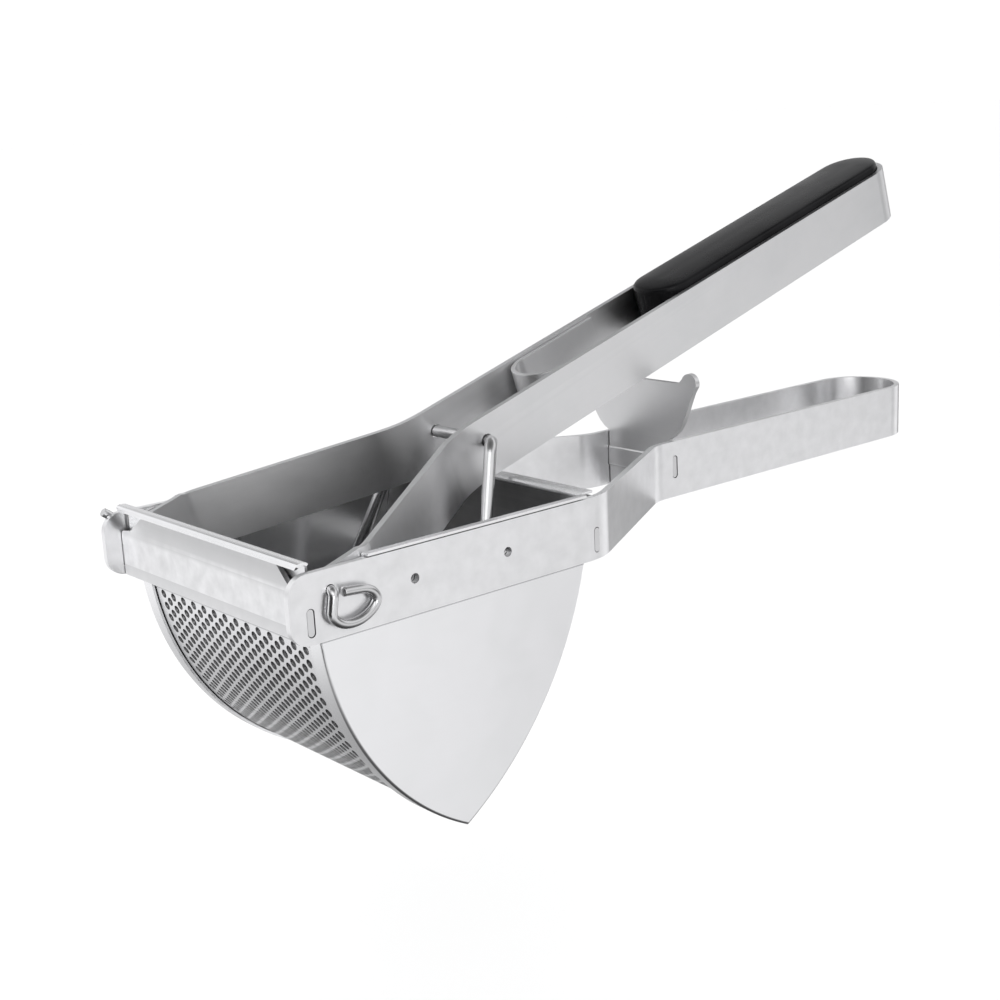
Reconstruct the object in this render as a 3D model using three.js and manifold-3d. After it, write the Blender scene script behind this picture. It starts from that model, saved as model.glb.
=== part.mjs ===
// Potato ricer: a strip-steel frame that is also the lower handle, a V-shaped basket hung in it,
// an upper handle hinged on a wire pin at the front, and a press plate carried by a wire link.
// Millimetres, +Z up. The origin is the middle of the front plate's outer face, +X runs towards
// the handles' ends and the frame strip is centred on z = 0.

import * as THREE from 'three';
import { mergeVertices } from 'three/addons/utils/BufferGeometryUtils.js';
import Module from 'manifold-3d';

const wasm = await Module();
wasm.setup();

// ---------------------------------------------------------------- driving dimensions
const GAP = 0.3; // clearance left between touching pieces
const SHEET = 0.8; // basket sheet
const STRIP = 2; // strip steel of the frame and the upper handle

const FRAME_WIDTH = 105; // over the two side strips
const FRAME_HEIGHT = 20;
const RIM = FRAME_HEIGHT / 2; // top edge of the frame strip
const FRAME_NOSE = -5.5; // front ends of the side strips
const NOSE_ROUND = 6;
const NECK_START = 110; // where the side strips turn inwards
const NECK_END = 171; // where they run on as the lower handle
const LOWER_GRIP_WIDTH = 34.4;
const LOWER_END = 325;

const PLATE = 2; // front plate, rear bar and guard plate
const PLATE_CORNER = [ // cut upper corner of the front plate, [y, z]
  [44, 5],
  [38, RIM - 0.2],
];
const REAR_BAR_X = 106.6;
const GUARD_X = 180;
const TENON_HEIGHT = 7.6;
const TENON_LOW = -7.6; // lower edge of the tenons at the front plate and the rear bar
const GUARD_TENON_LOW = -3;
const GUARD_FLANK = [ // the guard's edge where it spreads above the lower handle, [y, z]
  [16.4, 11],
  [19.5, 13.8],
  [22.4, 17.4],
];
const HORN = { y: 24.8, z: 31.4, radius: 3.4, from: -15, to: 160 }; // round tip, degrees of arc
const SADDLE = { y: 19.9, z: 31 }; // end of the flat edge on which the upper handle comes to rest

const HINGE_X = 8;
const HINGE_Z = 4;
const PIN_RADIUS = 1.4;
const PIN_BEND = 1.9;
const PIN_LOOP = [ // corners of the loop that lies on the near strip, [x, z], from its cut end
  [10.9, 3.1],
  [14.5, 2.9],
  [19, 2.2],
  [21.6, 0],
  [21.4, -3],
  [18.6, -5.4],
  [14, -6.3],
  [9.6, -5.9],
  [6.8, -3],
];
const PIN_TIP = [-3.6, 10.2]; // far end, turned forwards and up
const DRAIN_RADIUS = 1.5; // round holes through the strips and the basket's sides
const DRAIN_HOLES = [36.5, 71];
const DRAIN_Z = 0.5;

const CURVE_TOP = -2; // where the basket's curved walls begin
const FRONT_TOP_X = 4.7;
const BACK_TOP_X = 105.8;
const KEEL_X = 52.4; // the sharp lower edge where both walls meet
const KEEL_Z = -81;
const FRONT_RADIUS = 89.7;
const BACK_RADIUS = 114;
const FLANGE_WIDTH = 6; // side plate's flange, wrapped over the curved walls' ends
const LIP_TOP = 12.5; // front wall's folded lip
const WALL_FRONT_X = 2.6; // front wall behind the front plate

const HANDLE_ANGLE = THREE.MathUtils.degToRad(17);
const HANDLE_ROOT_Z = 2.9; // height of the upper handle's top plane above x = 0
const UPPER_WIDTH = 28;
const UPPER_HEIGHT = 20;
const UPPER_END = 328.5; // along the handle
const FLARE_END = 88; // along the handle, where the flared arms become parallel
const EAR_X = 19; // the ears are flat up to here
const EAR_RADIUS = 4; // round front of the ears, about the pin
const EAR_SLOPE = THREE.MathUtils.degToRad(15); // upright when the handle is fully open
const EAR_LOW = -8; // lower corner of the ears
const EAR_OUTER_Y = FRAME_WIDTH / 2 - STRIP - GAP - SHEET - GAP;

const STRAP = 1.5;
const STRAP_FRONT = 131; // along the handle
const STRAP_BACK = 176;
const GRIP_FRONT = 194; // along the handle
const GRIP_PROUD = 2.4; // grip's edge above the strip
const GRIP_CROWN = 0.8;
const GRIP_DEPTH = 15;

const LINK_X = 97.4;
const LINK_Z = 24.3;
const LINK_RADIUS = 2;
const LINK_BEND = 2.1;
const LINK_SHOULDER = new THREE.Vector3(92.3, 21.7, 25.5);
const LINK_FOOT = new THREE.Vector3(70.8, 37, -32);

const PRESS_CLEARANCE = 4.3; // between the press plate and the basket walls
const PRESS_SHEET = 1.2;
const PRESS_TOP = -20;
const PRESS_HALF_WIDTH = 46;
const LUG_Y = 32.6; // outer face of each lug
const LUG = 1.5;
const LUG_ROUND = 5;

// ---------------------------------------------------------------- materials
const steel = (name, color, roughness) =>
  new THREE.MeshStandardMaterial({ name, color, roughness, metalness: 1 });
const satinSteel = () => steel('satin_steel', 0xc9cacc, 0.34);
const basketSteel = () => steel('basket_steel', 0xd2d3d5, 0.26);
const wireSteel = () => steel('wire_steel', 0xb9babd, 0.16);
const gripBlack = () =>
  new THREE.MeshStandardMaterial({ name: 'grip_black', color: 0x141416, roughness: 0.3, metalness: 0 });

// ---------------------------------------------------------------- solids
// A closed geometry as a manifold solid, ready to be joined or cut.
function solid(geometry) {
  const bare = geometry.index ? geometry.toNonIndexed() : geometry.clone();
  bare.deleteAttribute('normal');
  bare.deleteAttribute('uv');
  const merged = mergeVertices(bare, 1e-4);
  const mesh = new wasm.Mesh({
    numProp: 3,
    vertProperties: new Float32Array(merged.attributes.position.array),
    triVerts: new Uint32Array(merged.index.array),
  });
  return new wasm.Manifold(mesh);
}

function geometryOf(body) {
  const mesh = body.getMesh();
  const geometry = new THREE.BufferGeometry();
  geometry.setAttribute('position', new THREE.BufferAttribute(new Float32Array(mesh.vertProperties), 3));
  geometry.setIndex(new THREE.BufferAttribute(new Uint32Array(mesh.triVerts), 1));
  geometry.computeVertexNormals();
  return geometry;
}

const join = (first, ...others) => others.reduce((body, other) => body.add(other), first);
const cut = (first, ...tools) => tools.reduce((body, tool) => body.subtract(tool), first);

function piece(name, body, material) {
  const mesh = new THREE.Mesh(geometryOf(body), material);
  mesh.name = name;
  return mesh;
}

// ---------------------------------------------------------------- outlines and extrusions
const vec = (x, y) => new THREE.Vector2(x, y);

// Points of a polyline whose inner corners are rounded; each corner is [x, y, radius].
function rounded(corners, segments = 6) {
  const points = [];
  corners.forEach(([x, y, radius = 0], i) => {
    const here = vec(x, y);
    if (radius === 0 || i === 0 || i === corners.length - 1) {
      points.push(here);
      return;
    }
    const before = vec(...corners[i - 1]).sub(here).normalize();
    const after = vec(...corners[i + 1]).sub(here).normalize();
    const half = Math.acos(before.dot(after)) / 2;
    const reach = radius / Math.tan(half);
    const start = here.clone().addScaledVector(before, reach);
    const end = here.clone().addScaledVector(after, reach);
    const centre = before.clone().add(after).normalize().multiplyScalar(radius / Math.sin(half)).add(here);
    const from = Math.atan2(start.y - centre.y, start.x - centre.x);
    let turn = Math.atan2(end.y - centre.y, end.x - centre.x) - from;
    if (turn > Math.PI) turn -= 2 * Math.PI;
    if (turn < -Math.PI) turn += 2 * Math.PI;
    for (let k = 0; k <= segments; k += 1) {
      const angle = from + (turn * k) / segments;
      points.push(vec(centre.x + radius * Math.cos(angle), centre.y + radius * Math.sin(angle)));
    }
  });
  return points;
}

// The closed outline of a strip of the given thickness that follows a centre line.
function ribbonOutline(line, thickness) {
  const offset = (side) =>
    line.map((point, i) => {
      const inward = point.clone().sub(line[Math.max(i - 1, 0)]).normalize();
      const outward = line[Math.min(i + 1, line.length - 1)].clone().sub(point).normalize();
      const along = inward.clone().add(outward).normalize();
      const stretch = 1 / along.dot(i === 0 ? outward : inward);
      const reach = (side * thickness * stretch) / 2;
      return vec(point.x - along.y * reach, point.y + along.x * reach);
    });
  return [...offset(1), ...offset(-1).reverse()];
}

function extruded(outline, depth) {
  return new THREE.ExtrudeGeometry(new THREE.Shape(outline), { depth, bevelEnabled: false });
}

// A plan outline (x, y) raised from z = low to z = high.
const raised = (outline, low, high) => extruded(outline, high - low).translate(0, 0, low);

// A side outline (x, z) spread from y = near to y = far.
const spread = (outline, near, far) =>
  extruded(outline, far - near)
    .rotateX(Math.PI / 2)
    .translate(0, far, 0);

// A front outline (y, z) thickened from x = front to x = back.
function thickened(outline, front, back) {
  const turn = new THREE.Matrix4().makeBasis(
    new THREE.Vector3(0, 1, 0),
    new THREE.Vector3(0, 0, 1),
    new THREE.Vector3(1, 0, 0),
  );
  return extruded(outline, back - front).applyMatrix4(turn).translate(front, 0, 0);
}

function block(x0, x1, y0, y1, z0, z1) {
  const geometry = new THREE.BoxGeometry(x1 - x0, y1 - y0, z1 - z0);
  return geometry.translate((x0 + x1) / 2, (y0 + y1) / 2, (z0 + z1) / 2);
}

function crossHole(x, z, radius, halfLength, sides = 16) {
  return new THREE.CylinderGeometry(radius, radius, 2 * halfLength, sides).translate(x, 0, z);
}

// A round wire along a list of points, its corners rounded.
function wire(points, radius, bend, sides = 12) {
  const path = new THREE.CurvePath();
  let start = points[0];
  for (let i = 1; i < points.length - 1; i += 1) {
    const before = points[i - 1].clone().sub(points[i]).normalize();
    const after = points[i + 1].clone().sub(points[i]).normalize();
    const reach = bend / Math.tan(Math.acos(before.dot(after)) / 2);
    const enter = points[i].clone().addScaledVector(before, reach);
    const leave = points[i].clone().addScaledVector(after, reach);
    path.add(new THREE.LineCurve3(start, enter));
    path.add(new THREE.QuadraticBezierCurve3(enter, points[i], leave));
    start = leave;
  }
  path.add(new THREE.LineCurve3(start, points[points.length - 1]));
  const section = [];
  for (let k = 0; k < sides; k += 1) {
    const angle = (2 * Math.PI * k) / sides;
    section.push(vec(radius * Math.cos(angle), radius * Math.sin(angle)));
  }
  const steps = Math.round(path.getLength() / (1.1 * radius));
  const shape = new THREE.Shape(section);
  return new THREE.ExtrudeGeometry(shape, { steps, extrudePath: path, bevelEnabled: false });
}

const mirrored = (points) => points.map((p) => new THREE.Vector3(p.x, -p.y, p.z)).reverse();

// ---------------------------------------------------------------- basket curves
// Centre of the arc from the top of a wall to the keel; side is +1 when it lies towards +X.
function arcCentre(topX, radius, side) {
  const top = vec(topX, CURVE_TOP);
  const keel = vec(KEEL_X, KEEL_Z);
  const chord = keel.clone().sub(top);
  const reach = Math.sqrt(radius * radius - chord.lengthSq() / 4);
  const normal = vec(-chord.y, chord.x).normalize().multiplyScalar(side * reach);
  return top.add(keel).multiplyScalar(0.5).add(normal);
}

const frontArc = { centre: arcCentre(FRONT_TOP_X, FRONT_RADIUS, 1), radius: FRONT_RADIUS, side: -1 };
const backArc = { centre: arcCentre(BACK_TOP_X, BACK_RADIUS, -1), radius: BACK_RADIUS, side: 1 };

// Points on an arc moved inwards by inset, from height high down to height low.
function arcPoints(arc, inset, high, low, steps = 16) {
  const radius = arc.radius - inset;
  const angleAt = (z) => Math.asin((z - arc.centre.y) / radius);
  const points = [];
  for (let k = 0; k <= steps; k += 1) {
    const angle = angleAt(high) + ((angleAt(low) - angleAt(high)) * k) / steps;
    const out = vec(arc.side * Math.cos(angle), Math.sin(angle));
    points.push(arc.centre.clone().addScaledVector(out, radius));
  }
  return points;
}

// Height at which both arcs, moved inwards by inset, meet.
function keelHeight(inset) {
  const a = frontArc.centre;
  const b = backArc.centre;
  const ra = frontArc.radius - inset;
  const rb = backArc.radius - inset;
  const apart = a.distanceTo(b);
  const along = (ra * ra - rb * rb + apart * apart) / (2 * apart);
  const across = Math.sqrt(ra * ra - along * along);
  const unit = b.clone().sub(a).divideScalar(apart);
  return a.y + unit.y * along - Math.abs(unit.x) * across;
}

// Closed outline of a curved wall between two insets.
function wallBand(arc, outer, inner, high) {
  const outside = arcPoints(arc, outer, high, keelHeight(outer));
  const inside = arcPoints(arc, inner, high, keelHeight(inner));
  return [...outside, ...inside.reverse()];
}

// ---------------------------------------------------------------- frame
const STRIP_Y = FRAME_WIDTH / 2 - STRIP / 2; // centre line of the side strips
const STRIP_INNER = FRAME_WIDTH / 2 - STRIP;
const LOWER_Y = LOWER_GRIP_WIDTH / 2 - STRIP / 2;

function tenonSlot(x, low, halfWidth) {
  return solid(
    block(x - GAP, x + PLATE + GAP, -halfWidth, halfWidth, low - GAP, low + TENON_HEIGHT + GAP),
  );
}

function frameStrip() {
  const half = [
    [HINGE_X - 4, STRIP_Y],
    [NECK_START, STRIP_Y, 16],
    [NECK_END, LOWER_Y, 16],
  ];
  const side = rounded([...half, [LOWER_END - 40, LOWER_Y]], 5).slice(0, -1);
  const loop = [];
  const loopX = LOWER_END - STRIP / 2 - LOWER_Y;
  for (let k = 0; k <= 20; k += 1) {
    const angle = Math.PI / 2 - (Math.PI * k) / 20;
    loop.push(vec(loopX + LOWER_Y * Math.cos(angle), LOWER_Y * Math.sin(angle)));
  }
  const back = side.map((p) => vec(p.x, -p.y)).reverse();
  const strip = solid(raised(ribbonOutline([...side, ...loop, ...back], STRIP), -RIM, RIM));
  const noseOutline = rounded(
    [
      [HINGE_X, RIM],
      [FRAME_NOSE, RIM, NOSE_ROUND],
      [FRAME_NOSE, -RIM, NOSE_ROUND],
      [HINGE_X, -RIM],
    ],
    7,
  );
  const noses = [-1, 1].map((sign) => {
    const inner = sign * STRIP_INNER;
    const outer = (sign * FRAME_WIDTH) / 2;
    return solid(spread(noseOutline, Math.min(inner, outer), Math.max(inner, outer)));
  });
  const holes = [crossHole(HINGE_X, HINGE_Z, PIN_RADIUS + GAP, FRAME_WIDTH)];
  DRAIN_HOLES.forEach((x) => holes.push(crossHole(x, DRAIN_Z, DRAIN_RADIUS, FRAME_WIDTH)));
  const body = cut(
    join(strip, ...noses),
    ...holes.map(solid),
    tenonSlot(0, TENON_LOW, FRAME_WIDTH),
    tenonSlot(REAR_BAR_X, TENON_LOW, FRAME_WIDTH),
    tenonSlot(GUARD_X, GUARD_TENON_LOW, LOWER_GRIP_WIDTH),
  );
  return piece('frame_strip', body, satinSteel());
}

function frontPlate() {
  const width = STRIP_INNER - GAP;
  const tip = FRAME_WIDTH / 2;
  const half = [
    [tip, TENON_LOW],
    [tip, TENON_LOW + TENON_HEIGHT],
    [width, TENON_LOW + TENON_HEIGHT],
    [width, 4],
    ...PLATE_CORNER,
  ];
  const outline = [[width, -RIM], [width, TENON_LOW], ...half].map(([y, z]) => vec(y, z));
  const other = outline.map((p) => vec(-p.x, p.y)).reverse();
  return piece('front_plate', solid(thickened([...outline, ...other], 0, PLATE)), satinSteel());
}

function rearBar() {
  const width = STRIP_INNER - GAP;
  const bar = solid(block(REAR_BAR_X, REAR_BAR_X + PLATE, -width, width, -RIM, RIM - 0.2));
  const tenon = solid(
    block(
      REAR_BAR_X,
      REAR_BAR_X + PLATE,
      -FRAME_WIDTH / 2,
      FRAME_WIDTH / 2,
      TENON_LOW,
      TENON_LOW + TENON_HEIGHT,
    ),
  );
  return piece('rear_cross_bar', join(bar, tenon), satinSteel());
}

// The guard stands between the lower handle's arms, spreads above them and ends in two horns
// that keep the upper handle centred.
function guardPlate() {
  const width = LOWER_GRIP_WIDTH / 2 - STRIP - GAP;
  const tip = LOWER_GRIP_WIDTH / 2;
  const outline = [
    [width, -RIM],
    [width, GUARD_TENON_LOW],
    [tip, GUARD_TENON_LOW],
    [tip, GUARD_TENON_LOW + TENON_HEIGHT],
    [width, GUARD_TENON_LOW + TENON_HEIGHT],
    [width, RIM + 0.6],
    ...GUARD_FLANK,
  ].map(([y, z]) => vec(y, z));
  for (let k = 0; k <= 8; k += 1) {
    const angle = THREE.MathUtils.degToRad(HORN.from + ((HORN.to - HORN.from) * k) / 8);
    outline.push(vec(HORN.y + HORN.radius * Math.cos(angle), HORN.z + HORN.radius * Math.sin(angle)));
  }
  outline.push(vec(SADDLE.y, SADDLE.z));
  const other = outline.map((p) => vec(-p.x, p.y)).reverse();
  const body = solid(thickened([...outline, ...other], GUARD_X, GUARD_X + PLATE));
  return piece('guard_plate', body, satinSteel());
}

// The pin is one wire: straight through the strips and the ears, bent into a flat loop on the
// near side and turned forwards and up on the far side.
function hingePin() {
  const y = FRAME_WIDTH / 2 + PIN_RADIUS + GAP;
  const at = ([x, z], side) => new THREE.Vector3(x, side * y, z);
  const hinge = [HINGE_X, HINGE_Z];
  const near = [...PIN_LOOP, hinge].map((corner) => at(corner, -1));
  const far = [hinge, PIN_TIP].map((corner) => at(corner, 1));
  return piece('hinge_pin', solid(wire([...near, ...far], PIN_RADIUS, PIN_BEND)), wireSteel());
}

// ---------------------------------------------------------------- basket
const SIDE_OUTER = STRIP_INNER - GAP; // outer face of the side plates
const SIDE_INNER = SIDE_OUTER - SHEET;
const WALL_HALF = SIDE_INNER - GAP; // half length of the curved walls
const RIM_START = 21; // the side plates' rims begin behind the handle's ears

// A side plate: flat V-shaped sheet, a rim that hangs on the strip's top edge, and a flange
// wrapped round the ends of both curved walls.
function sidePlate(name, sign) {
  const front = arcPoints(frontArc, 0, -RIM - 1, KEEL_Z, 18);
  const back = arcPoints(backArc, 0, CURVE_TOP, KEEL_Z, 18).reverse();
  const outline = [
    vec(WALL_FRONT_X, RIM - 0.5),
    vec(WALL_FRONT_X, -RIM + 3),
    ...front,
    ...back.slice(1),
    vec(BACK_TOP_X, RIM),
    vec(RIM_START, RIM),
  ];
  const ordered = (a, b) => [Math.min(sign * a, sign * b), Math.max(sign * a, sign * b)];
  const sheet = solid(spread(outline.reverse(), ...ordered(SIDE_INNER, SIDE_OUTER)));
  const rimY = ordered(SIDE_INNER, FRAME_WIDTH / 2);
  const rim = solid(block(RIM_START, BACK_TOP_X - 2, ...rimY, RIM + GAP, RIM + GAP + SHEET));
  const riser = solid(
    block(RIM_START, BACK_TOP_X - 2, ...ordered(SIDE_INNER, SIDE_OUTER), RIM - 1, RIM + GAP + SHEET),
  );
  const flangeY = ordered(SIDE_INNER - FLANGE_WIDTH, SIDE_INNER + SHEET / 2);
  const flanges = [
    spread(wallBand(frontArc, 0, SHEET, -RIM - 1), ...flangeY),
    spread(wallBand(backArc, 0, SHEET, -RIM - 1), ...flangeY),
  ].map(solid);
  const holes = [crossHole(HINGE_X, HINGE_Z, PIN_RADIUS + GAP, FRAME_WIDTH)];
  DRAIN_HOLES.forEach((x) => holes.push(crossHole(x, DRAIN_Z, DRAIN_RADIUS, FRAME_WIDTH)));
  return piece(name, cut(join(sheet, rim, riser, ...flanges), ...holes.map(solid)), basketSteel());
}

const WALL_OUTER = SHEET + GAP; // inset of a curved wall's outer face
const WALL_INNER = WALL_OUTER + SHEET;

// The front wall steps forwards above the curve and folds over the front plate as a hook.
function frontWall() {
  const outside = arcPoints(frontArc, WALL_OUTER, -RIM - 1, keelHeight(WALL_OUTER), 20);
  const inside = arcPoints(frontArc, WALL_INNER, -RIM - 1, keelHeight(WALL_INNER), 20).reverse();
  const wall = [
    ...outside,
    ...inside,
    vec(WALL_FRONT_X + SHEET, -RIM + 3.4),
    vec(WALL_FRONT_X + SHEET, RIM + 0.5),
    vec(WALL_FRONT_X, RIM + 0.5),
    vec(WALL_FRONT_X, -RIM + 3),
  ];
  const hook = rounded(
    [
      [WALL_FRONT_X + SHEET, RIM],
      [WALL_FRONT_X + SHEET, LIP_TOP, 1.4],
      [-0.8, LIP_TOP, 0.8],
      [-0.8, RIM + 0.4],
      [0, RIM + 0.4],
      [0, LIP_TOP - SHEET],
      [WALL_FRONT_X, LIP_TOP - SHEET, 0.6],
      [WALL_FRONT_X, RIM],
    ],
    4,
  );
  const keelCut = block(KEEL_X - GAP / 2, KEEL_X + 60, -60, 60, -90, KEEL_Z + 12);
  const wallBody = solid(spread(wall.reverse(), -WALL_HALF, WALL_HALF));
  const hookBody = solid(spread(hook, -SIDE_OUTER, SIDE_OUTER));
  return piece('front_wall', cut(join(wallBody, hookBody), solid(keelCut)), basketSteel());
}

// The back wall folds backwards over the rear cross bar.
function backWall() {
  const outside = arcPoints(backArc, WALL_OUTER, CURVE_TOP, keelHeight(WALL_OUTER), 20).reverse();
  const inside = arcPoints(backArc, WALL_INNER, CURVE_TOP, keelHeight(WALL_INNER), 20);
  const topX = outside[outside.length - 1].x;
  const wall = [...outside, vec(topX, RIM + 0.6), vec(topX - SHEET, RIM + 0.6), ...inside];
  const fold = [
    vec(topX - SHEET, RIM),
    vec(REAR_BAR_X + PLATE + 0.8, RIM),
    vec(REAR_BAR_X + PLATE + 0.8, RIM + SHEET),
    vec(topX - SHEET, RIM + SHEET),
  ].map((p) => vec(p.x, p.y + GAP));
  const keelCut = block(KEEL_X - 60, KEEL_X + GAP / 2, -60, 60, -90, KEEL_Z + 12);
  const wallBody = solid(spread(wall, -WALL_HALF, WALL_HALF));
  const foldBody = solid(spread(fold, -WALL_HALF, WALL_HALF));
  return piece('back_wall', cut(join(wallBody, foldBody), solid(keelCut)), basketSteel());
}

// ---------------------------------------------------------------- upper handle
const UPPER_Y = UPPER_WIDTH / 2 - STRIP / 2;
const EAR_Y = EAR_OUTER_Y - STRIP / 2;
const alongHandle = (x) => x / Math.cos(HANDLE_ANGLE);

// Turns a solid drawn flat (x along the handle, z across the strip) into the handle's place.
function placeOnHandle(geometry) {
  return geometry.rotateY(-HANDLE_ANGLE).translate(0, 0, HANDLE_ROOT_Z);
}

// The flared arms rise a little above the handle's plane towards the ears.
function crank(s) {
  const flare = Math.max(0, FLARE_END - s) * 0.037;
  const ear = Math.max(0, alongHandle(EAR_X + 4) - s) * 0.27;
  return flare + ear;
}

// An ear from the side: round about the pin, then straight edges out to the flared arm.
function earOutline() {
  const corner = vec(EAR_X, EAR_LOW);
  const out = corner.clone().sub(vec(HINGE_X, HINGE_Z));
  const upper = EAR_SLOPE + Math.PI / 2;
  const lower = out.angle() - Math.acos(EAR_RADIUS / out.length());
  const outline = [];
  for (let k = 0; k <= 12; k += 1) {
    const angle = upper + ((lower - upper) * k) / 12;
    const round = vec(Math.cos(angle), Math.sin(angle)).multiplyScalar(EAR_RADIUS);
    outline.push(round.add(vec(HINGE_X, HINGE_Z)));
  }
  const endX = EAR_X + 3;
  const rise = EAR_RADIUS / Math.cos(EAR_SLOPE) + (endX - HINGE_X) * Math.tan(EAR_SLOPE);
  return [...outline, corner, vec(endX, HINGE_Z + rise)];
}

function upperStrip() {
  const earS = alongHandle(EAR_X);
  const side = rounded(
    [
      [earS - 0.8, EAR_Y],
      [earS + 1.5, EAR_Y, 7],
      [FLARE_END, UPPER_Y, 34],
      [UPPER_END - 40, UPPER_Y],
    ],
    7,
  ).slice(0, -1);
  const loop = [];
  const loopX = UPPER_END - STRIP / 2 - UPPER_Y;
  for (let k = 0; k <= 20; k += 1) {
    const angle = Math.PI / 2 - (Math.PI * k) / 20;
    loop.push(vec(loopX + UPPER_Y * Math.cos(angle), UPPER_Y * Math.sin(angle)));
  }
  const back = side.map((p) => vec(p.x, -p.y)).reverse();
  const strip = raised(ribbonOutline([...side, ...loop, ...back], STRIP), -UPPER_HEIGHT, 0);
  const position = strip.attributes.position;
  for (let i = 0; i < position.count; i += 1) {
    position.setZ(i, position.getZ(i) + crank(position.getX(i)));
  }
  const ears = [-1, 1].map((sign) => {
    const y = [sign * EAR_OUTER_Y, sign * (EAR_OUTER_Y - STRIP)].sort((a, b) => a - b);
    return solid(spread(earOutline(), ...y));
  });
  const body = cut(
    join(solid(placeOnHandle(strip)), ...ears),
    solid(crossHole(HINGE_X, HINGE_Z, PIN_RADIUS + GAP, FRAME_WIDTH)),
    solid(crossHole(LINK_X, LINK_Z, LINK_RADIUS + GAP, UPPER_WIDTH)),
  );
  return piece('upper_handle_strip', body, satinSteel());
}

// A U-shaped strap, its round end forwards, keeps the two arms apart.
function handleStrap() {
  const y = UPPER_Y - STRIP / 2 - GAP - STRAP / 2;
  const line = rounded(
    [
      [STRAP_BACK, y],
      [STRAP_FRONT, y, y - 0.6],
      [STRAP_FRONT, -y, y - 0.6],
      [STRAP_BACK, -y],
    ],
    9,
  );
  const strap = raised(ribbonOutline(line, STRAP), -UPPER_HEIGHT + 1, -0.8);
  return piece('handle_strap', solid(placeOnHandle(strap)), satinSteel());
}

// The grip fills the handle's loop, stands proud of the strip and is crowned, with a raised heel.
function handleGrip() {
  const y = UPPER_Y - STRIP / 2 - GAP;
  const end = UPPER_END - STRIP - GAP;
  const outline = rounded(
    [
      [GRIP_FRONT + 30, y],
      [end, y, y - 0.05],
      [end, -y, y - 0.05],
      [GRIP_FRONT, -y, y - 0.05],
      [GRIP_FRONT, y, y - 0.05],
      [GRIP_FRONT + 30, y],
    ],
    8,
  ).slice(1);
  const grip = raised(outline, -GRIP_DEPTH, GRIP_PROUD);
  const cap = raised(
    outline.map((p) => vec(THREE.MathUtils.lerp((GRIP_FRONT + end) / 2, p.x, 0.975), p.y * 0.8)),
    GRIP_PROUD - 1,
    GRIP_PROUD + GRIP_CROWN,
  );
  return piece('grip', join(solid(placeOnHandle(grip)), solid(placeOnHandle(cap))), gripBlack());
}

// ---------------------------------------------------------------- press
// One wire: a bar through both arms, and two legs that spread down to the press plate's lugs.
function linkWire() {
  const side = [
    new THREE.Vector3(LINK_FOOT.x, LUG_Y - LUG - 3, LINK_FOOT.z),
    LINK_FOOT,
    LINK_SHOULDER,
    new THREE.Vector3(LINK_X, UPPER_WIDTH / 2 + 2.6, LINK_Z),
  ];
  return piece('link_wire', solid(wire([...side, ...mirrored(side)], LINK_RADIUS, LINK_BEND)), wireSteel());
}

// A single sheet folded at the keel, parallel to the basket's two walls.
function pressPlate() {
  const outer = WALL_INNER + PRESS_CLEARANCE;
  const inner = outer + PRESS_SHEET;
  const outline = [
    ...arcPoints(frontArc, outer, PRESS_TOP, keelHeight(outer), 14),
    ...arcPoints(backArc, outer, PRESS_TOP, keelHeight(outer), 14).reverse().slice(1),
    ...arcPoints(backArc, inner, PRESS_TOP, keelHeight(inner), 14),
    ...arcPoints(frontArc, inner, PRESS_TOP, keelHeight(inner), 14).reverse().slice(1),
  ];
  const body = solid(spread(outline, -PRESS_HALF_WIDTH, PRESS_HALF_WIDTH));
  return piece('press_plate', body, basketSteel());
}

// A lug on the press plate's inside holds a foot of the link wire.
function pressLug(name, sign) {
  const edge = arcPoints(backArc, WALL_INNER + PRESS_CLEARANCE + PRESS_SHEET + GAP, -26, -44, 5);
  const nose = [];
  for (let k = 0; k <= 8; k += 1) {
    const angle = THREE.MathUtils.degToRad(280 - 20 * k);
    nose.push(vec(LINK_FOOT.x + LUG_ROUND * Math.cos(angle), LINK_FOOT.z + LUG_ROUND * Math.sin(angle)));
  }
  const y = [sign * LUG_Y, sign * (LUG_Y - LUG)].sort((a, b) => a - b);
  const body = cut(
    solid(spread([...edge, ...nose], ...y)),
    solid(crossHole(LINK_FOOT.x, LINK_FOOT.z, LINK_RADIUS + GAP, FRAME_WIDTH)),
  );
  return piece(name, body, basketSteel());
}

// ---------------------------------------------------------------- assembly
const ricer = new THREE.Group();
ricer.name = 'potato_ricer';

const frame = new THREE.Group();
frame.add(frameStrip(), frontPlate(), rearBar(), guardPlate(), hingePin());

const basket = new THREE.Group();
basket.add(sidePlate('side_plate_near', -1), sidePlate('side_plate_far', 1), frontWall(), backWall());

const upperHandle = new THREE.Group();
upperHandle.add(upperStrip(), handleStrap(), handleGrip());

const press = new THREE.Group();
press.add(linkWire(), pressPlate(), pressLug('press_lug_near', -1), pressLug('press_lug_far', 1));

ricer.add(frame, basket, upperHandle, press);

export default ricer;
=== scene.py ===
import math

import bmesh
import bpy
from mathutils import Matrix, Vector


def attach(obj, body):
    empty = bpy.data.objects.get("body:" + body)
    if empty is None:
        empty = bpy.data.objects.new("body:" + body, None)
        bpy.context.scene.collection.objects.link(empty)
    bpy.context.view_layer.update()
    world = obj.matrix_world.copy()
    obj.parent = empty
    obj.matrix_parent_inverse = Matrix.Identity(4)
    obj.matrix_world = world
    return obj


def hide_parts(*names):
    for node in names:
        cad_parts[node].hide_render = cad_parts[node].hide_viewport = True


# Potato ricer: strip-steel frame and handles, perforated V basket, wire pin and link.
# Shapes are drawn in millimetres in the row frame and scaled to metres as they are placed:
# +X runs from the front plate towards the handles' ends, the pin's loop is on the -Y side.

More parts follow.
